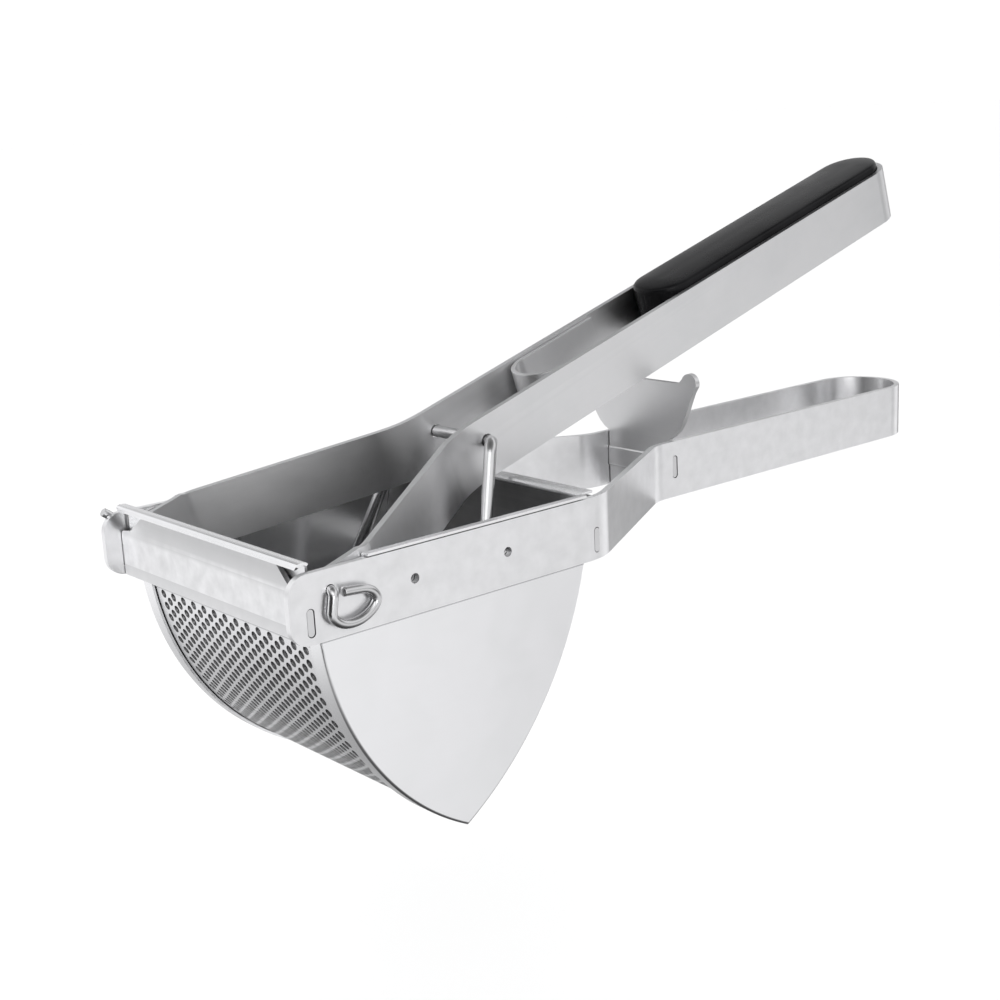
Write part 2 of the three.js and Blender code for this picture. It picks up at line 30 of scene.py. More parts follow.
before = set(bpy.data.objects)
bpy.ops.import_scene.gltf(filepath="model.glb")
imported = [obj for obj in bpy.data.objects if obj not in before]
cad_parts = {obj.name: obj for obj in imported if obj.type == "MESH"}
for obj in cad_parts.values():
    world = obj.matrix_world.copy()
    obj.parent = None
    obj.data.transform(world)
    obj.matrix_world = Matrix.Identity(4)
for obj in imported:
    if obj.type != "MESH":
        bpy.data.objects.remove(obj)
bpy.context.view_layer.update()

MM = 0.001

# ---------------------------------------------------------------- sizes, in millimetres
STRIP = 2.0  # a thickness, like PLATE, SHEET, STRAP, PRESS and LUG below
STRIP_Y = 51.5  # middle of the frame's side strips
RIM = 10.0  # half the strip's height
NOSE_X = -5.5
NOSE_ROUND = 6.0
LOWER_Y = 16.2  # middle of the lower handle's strip
LOWER_END = 324.0
NECK_START, NECK_END = 110.0, 171.0  # where the strips turn in, and where they turn straight again
HINGE = (8.0, 4.0)
PIN_RADIUS = 1.4
PIN_SLACK = 0.15
PIN_Y = 54.2  # middle of the wire outside the strips
DRAINS = (36.5, 71.0)
DRAIN_Z = 0.5
DRAIN_RADIUS = 1.5

FRONT_TENON_X = 1.15
REAR_BAR_X = 107.6
GUARD_X = 180.6
TENON_LOW = -7.9
GUARD_TENON_LOW = -3.3
SLOT_HEIGHT = 8.2
SLOT_RADIUS = 1.3
TENON_GAP = 0.25  # between a tenon and its slot
TENON_REACH = 52.3
GUARD_TENON_REACH = 17.0
FRONT_PLATE_X = 0.9
PLATE = 1.6
BOW = 0.8  # how far back the front plate's top edge leans
BOW_START, BOW_HEIGHT = 1.5, 8.3
HORN = {"centre": (24.8, 31.4), "radius": 3.4}

SHEET = 0.8
SIDE_Y = 49.8  # middle of the basket's side plates
FLANGE = 6.0
OUTER_RIM = 2.7
RIM_START = 21.0
RIM_TOP = 10.7
RIM_FOLD = 9.7  # the walls' plain inner face ends here and their folds start
FRONT_ARC = {"centre": (94.42, -1.7), "radius": 89.7, "side": -1}
BACK_ARC = {"centre": (-6.6, 16.4), "radius": 114.0, "side": 1}
WALL_MID = 1.5  # inset of the curved walls' middle from the flanges' outside
WALL_HALF = 49.1

HOLE_RADIUS = 1.42
LONGEST_HOLE_EDGE = 0.765  # longer open edges belong to the sheet's border
HOLE_PITCH = 6.1  # across the basket
ROW_STEP = 2.1  # from one staggered row to the next, along the curve
COLUMNS = 14
ROWS = 19
FRONT_FIRST_ROW = math.radians(-9.3)
BACK_FIRST_ROW = math.radians(-17.4)
KEEL_GAP = 0.45

HANDLE_ANGLE = math.radians(17.0)
HANDLE_ROOT = 2.9
UPPER_Y = 13.0
UPPER_END = 327.5
UPPER_HEIGHT = 20.0
EAR_Y = 48.1
EAR_RADIUS = 4.0
EAR_END, EAR_BEND, EAR_SLOPE_END, ARM_END = 22.4, 24.6, 24.05, 88.0  # along the handle
EAR_SLOPE, ARM_SLOPE = 0.27, 0.037
STRAP_Y = 10.95
STRAP_FRONT, STRAP_BACK = 131.0, 176.0
STRAP = 1.5
GRIP_RADIUS = 11.7
GRIP_FRONT, GRIP_BACK = 193.4, 326.1
GRIP_LOW = -15.0
HEEL_START, HEEL_LENGTH, HEEL_RISE = 296.0, 30.0, 0.5

LINK = (97.4, 24.3)
LINK_FOOT = (70.8, 37.0, -32.0)
LINK_SHOULDER = (92.3, 21.7, 25.5)
LINK_RADIUS = 2.0
LINK_SLACK = 0.3
PRESS_INSET = 6.8  # middle of the press plate, from the flanges' outside
PRESS_HALF = 46.0
PRESS_TOP = -20.3
PRESS = 1.2
LUG = 1.5
LUG_Y = 31.85
LUG_RADIUS = 5.0


# ---------------------------------------------------------------- working in edit mode
def clear():
    if bpy.context.mode != "OBJECT":
        bpy.ops.object.mode_set(mode="OBJECT")
    bpy.ops.object.select_all(action="DESELECT")


def edit(piece):
    clear()
    piece.select_set(True)
    bpy.context.view_layer.objects.active = piece
    bpy.ops.object.mode_set(mode="EDIT")
    bpy.ops.mesh.select_all(action="DESELECT")


def pick(piece, kind, wanted):
    """Selects the vertices, edges or faces whose middle (in millimetres) is wanted."""
    bpy.ops.mesh.select_mode(type=kind)
    bpy.ops.mesh.select_all(action="DESELECT")
    mesh = bmesh.from_edit_mesh(piece.data)
    parts = {"VERT": mesh.verts, "EDGE": mesh.edges, "FACE": mesh.faces}[kind]
    for part in parts:
        corners = [part] if kind == "VERT" else part.verts
        middle = sum((corner.co for corner in corners), Vector()) / len(corners) / MM
        if wanted(middle, part):
            part.select_set(True)
    mesh.select_flush_mode()
    bmesh.update_edit_mesh(piece.data)


def named(name):
    piece = bpy.context.object
    piece.name = name
    piece.data.name = name
    return piece


def settle(piece):
    """Back in object mode, with the piece's place in its mesh."""
    clear()
    piece.select_set(True)
    bpy.context.view_layer.objects.active = piece
    bpy.ops.object.transform_apply(location=True, rotation=True, scale=True)
    return piece


def modify(piece, kind, **settings):
    clear()
    piece.select_set(True)
    bpy.context.view_layer.objects.active = piece
    modifier = piece.modifiers.new(kind.lower(), kind)
    for key, value in settings.items():
        setattr(modifier, key, value)
    bpy.ops.object.modifier_apply(modifier=modifier.name)
    return piece


def outward(piece):
    edit(piece)
    bpy.ops.mesh.select_all(action="SELECT")
    bpy.ops.mesh.remove_doubles(threshold=0.002 * MM)
    bpy.ops.mesh.normals_make_consistent(inside=False)
    clear()
    return piece


def join(name, *pieces):
    clear()
    for piece in pieces:
        piece.select_set(True)
    bpy.context.view_layer.objects.active = pieces[0]
    bpy.ops.object.join()
    return named(name)


# ---------------------------------------------------------------- lines and outlines
def rounded(corners, segments=10):
    """Points of a flat polyline whose inner corners are rounded; each corner is (x, y, radius)."""
    points = []
    for i, corner in enumerate(corners):
        here = Vector(corner[:2])
        radius = corner[2] if len(corner) > 2 else 0
        if radius == 0 or i in (0, len(corners) - 1):
            points.append(here)
            continue
        before = (Vector(corners[i - 1][:2]) - here).normalized()
        after = (Vector(corners[i + 1][:2]) - here).normalized()
        half = before.angle(after) / 2
        centre = here + (before + after).normalized() * radius / math.sin(half)
        start = here + before * radius / math.tan(half) - centre
        turn = start.angle_signed(here + after * radius / math.tan(half) - centre)
        for k in range(segments + 1):
            points.append(centre + Matrix.Rotation(-turn * k / segments, 2) @ start)
    return points


def bent(points, bends, segments=8):
    """A wire's middle line in space, each inner corner turned at its own radius."""
    line = [Vector(points[0])]
    for before, here, after, radius in zip(points, points[1:], points[2:], bends):
        here = Vector(here)
        back = (Vector(before) - here).normalized()
        on = (Vector(after) - here).normalized()
        half = back.angle(on) / 2
        centre = here + (back + on).normalized() * radius / math.sin(half)
        start = here + back * radius / math.tan(half) - centre
        end = here + on * radius / math.tan(half) - centre
        axis = start.cross(end).normalized()
        for k in range(segments + 1):
            turn = Matrix.Rotation(start.angle(end) * k / segments, 3, axis)
            line.append(centre + turn @ start)
    line.append(Vector(points[-1]))
    return line


def flowing(points, steps=5):
    """A smooth line through points; the first and the last only guide its ends."""
    line = []
    for group_of_four in zip(points, points[1:], points[2:], points[3:]):
        a, b, c, d = (Vector(point) for point in group_of_four)
        for k in range(steps):
            t = k / steps
            square = (2 * a - 5 * b + 4 * c - d) * t * t
            cube = (3 * b - a - 3 * c + d) * t ** 3
            line.append((2 * b + (c - a) * t + square + cube) / 2)
    return line


def arc_points(arc, inset, high, low, steps):
    """Points (x, z) on a basket curve moved inwards by inset, from one height to another."""
    radius = arc["radius"] - inset
    cx, cz = arc["centre"]
    first, last = (math.asin((z - cz) / radius) for z in (high, low))
    turns = [first + (last - first) * k / steps for k in range(steps + 1)]
    return [(cx + arc["side"] * radius * math.cos(a), cz + radius * math.sin(a)) for a in turns]


def keel_height(inset):
    """Height at which both curves, moved inwards by inset, meet."""
    a, b = Vector(FRONT_ARC["centre"]), Vector(BACK_ARC["centre"])
    ra, rb = FRONT_ARC["radius"] - inset, BACK_ARC["radius"] - inset
    apart = (b - a).length
    along = (ra * ra - rb * rb + apart * apart) / (2 * apart)
    unit = (b - a) / apart
    return a.y + unit.y * along - abs(unit.x) * math.sqrt(ra * ra - along * along)


# ---------------------------------------------------------------- making sheets, plates and wires
def chain(name, points):
    """One corner extruded from each point to the next."""
    clear()
    bpy.ops.mesh.primitive_plane_add(size=MM)
    piece = named(name)
    edit(piece)
    bpy.ops.mesh.select_all(action="SELECT")
    bpy.ops.mesh.merge(type="CENTER")
    bpy.ops.mesh.select_mode(type="VERT")
    bpy.ops.mesh.select_all(action="SELECT")
    bpy.ops.transform.translate(value=Vector(points[0]) * MM)
    for before, after in zip(points, points[1:]):
        step = (Vector(after) - Vector(before)) * MM
        bpy.ops.mesh.extrude_vertices_move(TRANSFORM_OT_translate={"value": step})
    return piece


def outline_face(name, points):
    piece = chain(name, points)
    bpy.ops.mesh.select_all(action="SELECT")
    bpy.ops.mesh.edge_face_add()
    clear()
    return piece


def profile_sheet(name, profile, half):
    """A side profile (x, z) drawn at one edge and extruded across the object."""
    piece = chain(name, [(x, -half, z) for x, z in profile])
    bpy.ops.mesh.select_all(action="SELECT")
    bpy.ops.mesh.extrude_region_move(TRANSFORM_OT_translate={"value": (0, 2 * half * MM, 0)})
    clear()
    return piece


def upright_run(name, stations):
    """An upright sheet through stations (x, y, low, high), one edge extruded to the next."""
    clear()
    bpy.ops.mesh.primitive_plane_add(size=MM)
    piece = named(name)
    (x0, y0, low0, high0), (x1, y1, low1, high1) = stations[:2]
    corners = [(x0, y0, low0), (x1, y1, low1), (x0, y0, high0), (x1, y1, high1)]
    for vertex, corner in zip(piece.data.vertices, corners):
        vertex.co = Vector(corner) * MM
    edit(piece)
    leading = Vector((x1, y1, (low1 + high1) / 2))
    pick(piece, "EDGE", lambda middle, _: (middle - leading).length < 0.02)
    here, height = leading, high1 - low1
    for x, y, low, high in stations[2:]:
        after = Vector((x, y, (low + high) / 2))
        step = {"value": (after - here) * MM}
        bpy.ops.mesh.extrude_region_move(TRANSFORM_OT_translate=step)
        if abs(high - low - height) > 1e-4:
            scale = (1, 1, (high - low) / height)
            bpy.ops.transform.resize(value=scale, center_override=after * MM)
        here, height = after, high - low
    clear()
    return piece


def both_sides(piece):
    return modify(
        piece,
        "MIRROR",
        use_axis=(False, True, False),
        use_mirror_merge=True,
        merge_threshold=0.01 * MM,
    )


def thick(piece, amount):
    modify(piece, "SOLIDIFY", thickness=amount * MM, offset=0, use_even_offset=True)
    return outward(piece)


def slot_cutter(x, y, low, high, radius, depth):
    """An upright slot with round ends, as a cylinder across the object with its top half raised."""
    clear()
    bpy.ops.mesh.primitive_cylinder_add(
        vertices=24,
        radius=radius * MM,
        depth=depth * MM,
        location=(x * MM, y * MM, (low + radius) * MM),
        rotation=(math.pi / 2, 0, 0),
    )
    cutter = settle(named("slot_cutter"))
    if high - low > 2 * radius:
        edit(cutter)
        pick(cutter, "VERT", lambda middle, _: middle.z > low + radius + 0.01)
        bpy.ops.transform.translate(value=(0, 0, (high - low - 2 * radius) * MM))
        clear()
    return cutter


def hole_cutter(x, z, radius, half=60.0):
    return slot_cutter(x, 0, z - radius, z + radius, radius, 2 * half)


def pin_hole():
    return hole_cutter(*HINGE, PIN_RADIUS + PIN_SLACK)


def drain_holes():
    return [hole_cutter(x, DRAIN_Z, DRAIN_RADIUS) for x in DRAINS]


def tenon_slot(x, low, depth):
    return slot_cutter(x, 0, low, low + SLOT_HEIGHT, SLOT_RADIUS, depth)


def combine(piece, other, operation):
    modify(piece, "BOOLEAN", object=other, operation=operation, solver="EXACT")
    bpy.data.objects.remove(other)
    return piece


def cut(piece, *cutters):
    for cutter in cutters:
        combine(piece, cutter, "DIFFERENCE")
    return piece


def wire(name, line, radius):
    """A round wire along a line, with its ends closed."""
    curve = bpy.data.curves.new(name, "CURVE")
    curve.dimensions = "3D"
    curve.bevel_depth = radius * MM
    curve.bevel_resolution = 5
    curve.use_fill_caps = True
    spline = curve.splines.new("POLY")
    spline.points.add(len(line) - 1)
    for point, place in zip(spline.points, line):
        point.co = (*(Vector(place) * MM), 1)
    piece = bpy.data.objects.new(name, curve)
    bpy.context.scene.collection.objects.link(piece)
    clear()
    piece.select_set(True)
    bpy.context.view_layer.objects.active = piece
    bpy.ops.object.convert(target="MESH")
    named(name)
    return outward(piece)


def soften(piece, width, segments=2, sharp=40.0):
    """Small rounded edges, and smooth shading that keeps the flats flat."""
    modify(
        piece,
        "BEVEL",
        width=width * MM,
        segments=segments,
        limit_method="ANGLE",
        angle_limit=math.radians(sharp),
        use_clamp_overlap=True,
    )
    return smooth(piece)


def smooth(piece, sharp=32.0):
    clear()
    piece.select_set(True)
    bpy.context.view_layer.objects.active = piece
    bpy.ops.object.shade_smooth_by_angle(angle=math.radians(sharp))
    return modify(piece, "WEIGHTED_NORMAL", keep_sharp=True, weight=80)


def on_handle(piece):
    """Turns a piece drawn flat (x along the handle) into the upper handle's place."""
    clear()
    piece.select_set(True)
    raised = Matrix.Translation((0, 0, HANDLE_ROOT * MM))
    piece.matrix_world = raised @ Matrix.Rotation(-HANDLE_ANGLE, 4, "Y")
    return settle(piece)


# ---------------------------------------------------------------- shared effects
def group(name, inputs, outputs):
    tree = bpy.data.node_groups.new(name, "ShaderNodeTree")
    for label, kind, value in inputs:
        socket = tree.interface.new_socket(label, in_out="INPUT", socket_type=kind)
        if value is not None:
            socket.default_value = value
    for label, kind in outputs:
        tree.interface.new_socket(label, in_out="OUTPUT", socket_type=kind)
    return tree, tree.nodes.new("NodeGroupInput"), tree.nodes.new("NodeGroupOutput")


def node(tree, kind, **settings):
    made = tree.nodes.new(kind)
    for key, value in settings.items():
        if key in made.inputs:
            made.inputs[key].default_value = value
        else:
            setattr(made, key, value)
    return made


def brushed_grain():
    """Fine parallel lines along the vector's first axis: 0 to 1."""
    inputs = [
        ("Vector", "NodeSocketVector", None),
        ("Stretch", "NodeSocketVector", (12.0, 900.0, 2600.0)),
        ("Contrast", "NodeSocketFloat", 1.0),
    ]
    tree, inside, out = group("brushed grain", inputs, [("Grain", "NodeSocketFloat")])
    stretch = node(tree, "ShaderNodeVectorMath", operation="MULTIPLY")
    lines = node(tree, "ShaderNodeTexNoise", Scale=1.0, Detail=5.0, Roughness=0.7)
    level = node(tree, "ShaderNodeMapRange", **{"From Min": 0.3, "From Max": 0.7})
    power = node(tree, "ShaderNodeMath", operation="POWER")
    tree.links.new(inside.outputs["Vector"], stretch.inputs[0])
    tree.links.new(inside.outputs["Stretch"], stretch.inputs[1])
    tree.links.new(stretch.outputs[0], lines.inputs["Vector"])
    tree.links.new(lines.outputs["Fac"], level.inputs["Value"])
    tree.links.new(level.outputs["Result"], power.inputs[0])
    tree.links.new(inside.outputs["Contrast"], power.inputs[1])
    tree.links.new(power.outputs[0], out.inputs["Grain"])
    return tree


def smudges():
    """Soft cloudy patches, like handled and wiped metal: 0 to 1."""
    inputs = [("Vector", "NodeSocketVector", None), ("Scale", "NodeSocketFloat", 38.0)]
    tree, inside, out = group("smudges", inputs, [("Cloud", "NodeSocketFloat")])
    cloud = node(tree, "ShaderNodeTexNoise", Detail=3.0, Roughness=0.55, Distortion=0.4)
    level = node(tree, "ShaderNodeMapRange", **{"From Min": 0.32, "From Max": 0.68})
    tree.links.new(inside.outputs["Vector"], cloud.inputs["Vector"])
    tree.links.new(inside.outputs["Scale"], cloud.inputs["Scale"])
    tree.links.new(cloud.outputs["Fac"], level.inputs["Value"])
    tree.links.new(level.outputs["Result"], out.inputs["Cloud"])
    return tree


def edge_wear():
    """Where the surface turns a corner: 0 on the flats, 1 on worn edges."""
    inputs = [("Vector", "NodeSocketVector", None), ("Amount", "NodeSocketFloat", 1.0)]
    tree, inside, out = group("edge wear", inputs, [("Edge", "NodeSocketFloat")])
    geometry = node(tree, "ShaderNodeNewGeometry")
    corner = node(tree, "ShaderNodeMapRange", **{"From Min": 0.52, "From Max": 0.62})
    patch = node(tree, "ShaderNodeTexNoise", Scale=220.0, Detail=2.0)
    broken = node(tree, "ShaderNodeMath", operation="MULTIPLY")
    scaled = node(tree, "ShaderNodeMath", operation="MULTIPLY", use_clamp=True)
    tree.links.new(geometry.outputs["Pointiness"], corner.inputs["Value"])
    tree.links.new(inside.outputs["Vector"], patch.inputs["Vector"])
    tree.links.new(corner.outputs["Result"], broken.inputs[0])
    tree.links.new(patch.outputs["Fac"], broken.inputs[1])
    tree.links.new(broken.outputs[0], scaled.inputs[0])
    tree.links.new(inside.outputs["Amount"], scaled.inputs[1])
    tree.links.new(scaled.outputs[0], out.inputs["Edge"])
    return tree


def painted_shadow_line():
    """A painted shadow line: a thin dark level band on a sheet, just under the edge of a strip or plate
    that covers its upper part. The heights and the distance from the middle plane are given by the
    material, in metres."""
    inputs = [
        ("Vector", "NodeSocketVector", None),
        ("Color", "NodeSocketColor", None),
        ("Shadow Color", "NodeSocketColor", (0.05, 0.05, 0.052, 1)),
        ("Clear Below", "NodeSocketFloat", 0.0),
        ("Dark Above", "NodeSocketFloat", 0.0),
        ("Clear Above", "NodeSocketFloat", 0.0),
        ("Clear Within", "NodeSocketFloat", 0.0),
    ]
    tree, inside, out = group("painted shadow line", inputs, [("Color", "NodeSocketColor")])
    split = node(tree, "ShaderNodeSeparateXYZ")
    fade = node(tree, "ShaderNodeMapRange", interpolation_type="SMOOTHSTEP")
    under = node(tree, "ShaderNodeMath", operation="LESS_THAN")
    across = node(tree, "ShaderNodeMath", operation="ABSOLUTE")
    outside = node(tree, "ShaderNodeMath", operation="GREATER_THAN")
    level = node(tree, "ShaderNodeMath", operation="MULTIPLY")
    share = node(tree, "ShaderNodeMath", operation="MULTIPLY")
    line = node(tree, "ShaderNodeMix", data_type="RGBA")
    link = tree.links.new
    link(inside.outputs["Vector"], split.inputs["Vector"])
    link(split.outputs["Z"], fade.inputs["Value"])
    link(inside.outputs["Clear Below"], fade.inputs["From Min"])
    link(inside.outputs["Dark Above"], fade.inputs["From Max"])
    link(split.outputs["Z"], under.inputs[0])
    link(inside.outputs["Clear Above"], under.inputs[1])
    link(split.outputs["Y"], across.inputs[0])
    link(across.outputs[0], outside.inputs[0])
    link(inside.outputs["Clear Within"], outside.inputs[1])
    link(fade.outputs["Result"], level.inputs[0])
    link(under.outputs[0], level.inputs[1])
    link(level.outputs[0], share.inputs[0])
    link(outside.outputs[0], share.inputs[1])
    link(share.outputs[0], line.inputs["Factor"])
    link(inside.outputs["Color"], line.inputs["A"])
    link(inside.outputs["Shadow Color"], line.inputs["B"])
    link(line.outputs["Result"], out.inputs["Color"])
    return tree


GRAIN = brushed_grain()
SMUDGES = smudges()
WEAR = edge_wear()
SHADOW_LINE = painted_shadow_line()

RELIEF = 0.02 * MM
PATCH_SCALE = 38.0
GRAIN_IN_TONE = 0.45
PATCHES_IN_ROUGHNESS = 0.5
WORN_EDGE = (0.93, 0.93, 0.94, 1)
QUARTER_TURN = 0.25  # the gloss is spread across the brushed lines


def steel(name, dark, light, roughness_range, stretch, bump, turn=0.0, spread=0.0, shadow_line=None):
    """Stainless steel: brushed lines, wiped patches and brighter edges over a plain metal, and a
    painted shadow line where one is asked for. roughness_range is its lowest and highest roughness; the
    last argument holds the painted shadow line's values, in millimetres."""
    material = bpy.data.materials.new(name)
    material.use_nodes = True
    tree = material.node_tree
    shader = tree.nodes["Principled BSDF"]
    shader.inputs["Metallic"].default_value = 1.0
    shader.inputs["Anisotropic"].default_value = spread
    shader.inputs["Anisotropic Rotation"].default_value = QUARTER_TURN if spread else 0.0
    coordinates = node(tree, "ShaderNodeTexCoord")
    mapping = node(tree, "ShaderNodeMapping")
    mapping.inputs["Rotation"].default_value = (0, turn, 0)
    grain = node(tree, "ShaderNodeGroup", node_tree=GRAIN)
    grain.inputs["Stretch"].default_value = stretch
    patches = node(tree, "ShaderNodeGroup", node_tree=SMUDGES)
    patches.inputs["Scale"].default_value = PATCH_SCALE
    worn = node(tree, "ShaderNodeGroup", node_tree=WEAR)
    tone = node(tree, "ShaderNodeMix", data_type="RGBA")
    tone.inputs["A"].default_value = (*dark, 1)
    tone.inputs["B"].default_value = (*light, 1)
    blend = node(tree, "ShaderNodeMath", operation="MULTIPLY_ADD", use_clamp=True)
    blend.inputs[1].default_value = GRAIN_IN_TONE
    edge_tone = node(tree, "ShaderNodeMix", data_type="RGBA")
    edge_tone.inputs["B"].default_value = WORN_EDGE
    smoothest, roughest = roughness_range
    roughness = node(tree, "ShaderNodeMapRange", **{"To Min": smoothest, "To Max": roughest})
    mixed = node(tree, "ShaderNodeMath", operation="MULTIPLY_ADD")
    mixed.inputs[1].default_value = PATCHES_IN_ROUGHNESS
    relief = node(tree, "ShaderNodeBump", Strength=bump, Distance=RELIEF)
    link = tree.links.new
    link(coordinates.outputs["Object"], mapping.inputs["Vector"])
    for effect in (grain, patches, worn):
        link(mapping.outputs["Vector"], effect.inputs["Vector"])
    link(grain.outputs["Grain"], blend.inputs[0])
    link(patches.outputs["Cloud"], blend.inputs[2])
    link(blend.outputs[0], tone.inputs["Factor"])
    link(tone.outputs["Result"], edge_tone.inputs["A"])
    link(worn.outputs["Edge"], edge_tone.inputs["Factor"])
    seen = edge_tone.outputs["Result"]
    # A painted shadow line, darkening the sheet just under a covering strip or plate.
    if shadow_line:
        line = node(tree, "ShaderNodeGroup", node_tree=SHADOW_LINE)
        for label, distance in shadow_line.items():
            line.inputs[label].default_value = distance * MM
        link(coordinates.outputs["Object"], line.inputs["Vector"])
        link(seen, line.inputs["Color"])
        seen = line.outputs["Color"]
    link(seen, shader.inputs["Base Color"])
    link(patches.outputs["Cloud"], mixed.inputs[0])
    link(grain.outputs["Grain"], mixed.inputs[2])
    link(mixed.outputs[0], roughness.inputs["Value"])
    link(roughness.outputs["Result"], shader.inputs["Roughness"])
    link(grain.outputs["Grain"], relief.inputs["Height"])
    link(relief.outputs["Normal"], shader.inputs["Normal"])
    return material


def moulded_black(name):
    """Glossy moulded plastic with a faint fine texture and soft wiped patches."""
    material = bpy.data.materials.new(name)
    material.use_nodes = True
    tree = material.node_tree
    shader = tree.nodes["Principled BSDF"]
    shader.inputs["IOR"].default_value = 1.2
    coordinates = node(tree, "ShaderNodeTexCoord")
    patches = node(tree, "ShaderNodeGroup", node_tree=SMUDGES)
    patches.inputs["Scale"].default_value = 55.0
    tone = node(tree, "ShaderNodeMix", data_type="RGBA")
    tone.inputs["A"].default_value = (0.004, 0.004, 0.0045, 1)
    tone.inputs["B"].default_value = (0.009, 0.009, 0.01, 1)
    roughness = node(tree, "ShaderNodeMapRange", **{"To Min": 0.22, "To Max": 0.32})
    pores = node(tree, "ShaderNodeTexNoise", Scale=2600.0, Detail=2.0)
    relief = node(tree, "ShaderNodeBump", Strength=0.12, Distance=RELIEF)
    link = tree.links.new
    link(coordinates.outputs["Object"], patches.inputs["Vector"])
    link(coordinates.outputs["Object"], pores.inputs["Vector"])
    link(patches.outputs["Cloud"], tone.inputs["Factor"])
    link(tone.outputs["Result"], shader.inputs["Base Color"])
    link(patches.outputs["Cloud"], roughness.inputs["Value"])
    link(roughness.outputs["Result"], shader.inputs["Roughness"])
    link(pores.outputs["Fac"], relief.inputs["Height"])
    link(relief.outputs["Normal"], shader.inputs["Normal"])
    return material


ALONG = (10.0, 700.0, 2200.0)  # grain lines run along X
ACROSS = (700.0, 10.0, 2200.0)  # grain lines run along Y
EVEN = (60.0, 60.0, 60.0)
SATIN_DARK, SATIN_LIGHT = (0.735, 0.74, 0.745), (0.785, 0.785, 0.79)
PLATE_DARK, PLATE_LIGHT = (0.6, 0.605, 0.61), (0.635, 0.635, 0.64)
SIDE_DARK, SIDE_LIGHT = (0.78, 0.785, 0.79), (0.83, 0.83, 0.84)
WALL_DARK, WALL_LIGHT = (0.74, 0.745, 0.75), (0.81, 0.81, 0.82)
# Partly a duller finish (higher roughness), partly painted shade: the steel inside the basket, inside
# the holes and on the press plate is far darker than outside, standing in for the shade in there.
SHADED_INSIDE_DARK, SHADED_INSIDE_LIGHT = (0.17, 0.17, 0.173), (0.25, 0.25, 0.253)
WIRE_DARK, WIRE_LIGHT = (0.5, 0.5, 0.505), (0.6, 0.6, 0.605)
# Painted shadow lines, in millimetres: on the side plates' outer faces just under the strips, and
# across the punched walls a little below the front plate's and rear bar's lower edges.
SIDE_SHADOW_LINE = {"Clear Below": -11.5, "Dark Above": -10.6, "Clear Above": -8.5, "Clear Within": 49.9}
WALL_SHADOW_LINE = {"Clear Below": -14.9, "Dark Above": -13.58, "Clear Above": -11.2, "Clear Within": -1.0}

SATIN = steel("satin strip", SATIN_DARK, SATIN_LIGHT, (0.28, 0.34), ALONG, 0.06, spread=0.7)
SATIN_UPPER = steel(
    "satin strip, upper handle",
    SATIN_DARK,
    SATIN_LIGHT,
    (0.35, 0.43),
    ALONG,
    0.06,
    turn=HANDLE_ANGLE,
    spread=0.75,
)
SATIN_PLATE = steel("satin plate", PLATE_DARK, PLATE_LIGHT, (0.27, 0.32), ACROSS, 0.05)
# The smooth and punched sheets carry the painted shadow lines.
SHEET_SIDE = steel("smooth sheet", SIDE_DARK, SIDE_LIGHT, (0.2, 0.26), ALONG, 0.02, shadow_line=SIDE_SHADOW_LINE)
SHEET_WALL = steel("punched sheet", WALL_DARK, WALL_LIGHT, (0.22, 0.3), ACROSS, 0.03, shadow_line=WALL_SHADOW_LINE)
# Dull inner steel with painted shade: far darker than the outer sheets.
SHEET_INSIDE_SHADED = steel("dull sheet with painted shade", SHADED_INSIDE_DARK, SHADED_INSIDE_LIGHT, (0.38, 0.48), ACROSS, 0.03)
WIRE = steel("polished wire", WIRE_DARK, WIRE_LIGHT, (0.14, 0.23), EVEN, 0.05)
BLACK = moulded_black("moulded black")


def place(piece, body, slot, material, *stands_for):
    piece.data.materials.clear()
    piece.data.materials.append(material)
    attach(piece, body)
    if stands_for:
        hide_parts(*stands_for)


# ---------------------------------------------------------------- frame
def nose_stations():
    stations = []
    for k in range(9):
        turn = math.pi / 2 * k / 8
        half = RIM - NOSE_ROUND + NOSE_ROUND * math.sin(turn)
        stations.append((NOSE_X + NOSE_ROUND * (1 - math.cos(turn)), STRIP_Y, -half, half))
    return stations


def frame_strip():
    loop_x = LOWER_END - LOWER_Y
    line = rounded(
        [(HINGE[0], STRIP_Y), (NECK_START, STRIP_Y, 22), (NECK_END, LOWER_Y, 17), (loop_x, LOWER_Y)], 12
    )
    for k in range(1, 21):
        turn = math.pi / 2 * k / 20
        line.append(Vector((loop_x + LOWER_Y * math.sin(turn), LOWER_Y * math.cos(turn))))
    stations = nose_stations() + [(p.x, p.y, -RIM, RIM) for p in line]
    strip = thick(both_sides(upright_run("frame_strip_detailed", stations)), STRIP)
    cut(strip, pin_hole())
    cut(strip, *drain_holes())
    for x in (FRONT_TENON_X, REAR_BAR_X):
        cut(strip, tenon_slot(x, TENON_LOW, 120))
    cut(strip, tenon_slot(GUARD_X, GUARD_TENON_LOW, 50))
    soften(strip, 0.4)
    place(strip, "frame", "satin_steel", SATIN, "frame_strip")


def tenoned(plate, x, low, reach):
    """Adds the round-ended tenon that shows in the strips' slots."""
    high = low + SLOT_HEIGHT - TENON_GAP
    tenon = slot_cutter(x, 0, low + TENON_GAP, high, SLOT_RADIUS - TENON_GAP, 2 * reach)
    return combine(plate, tenon, "UNION")


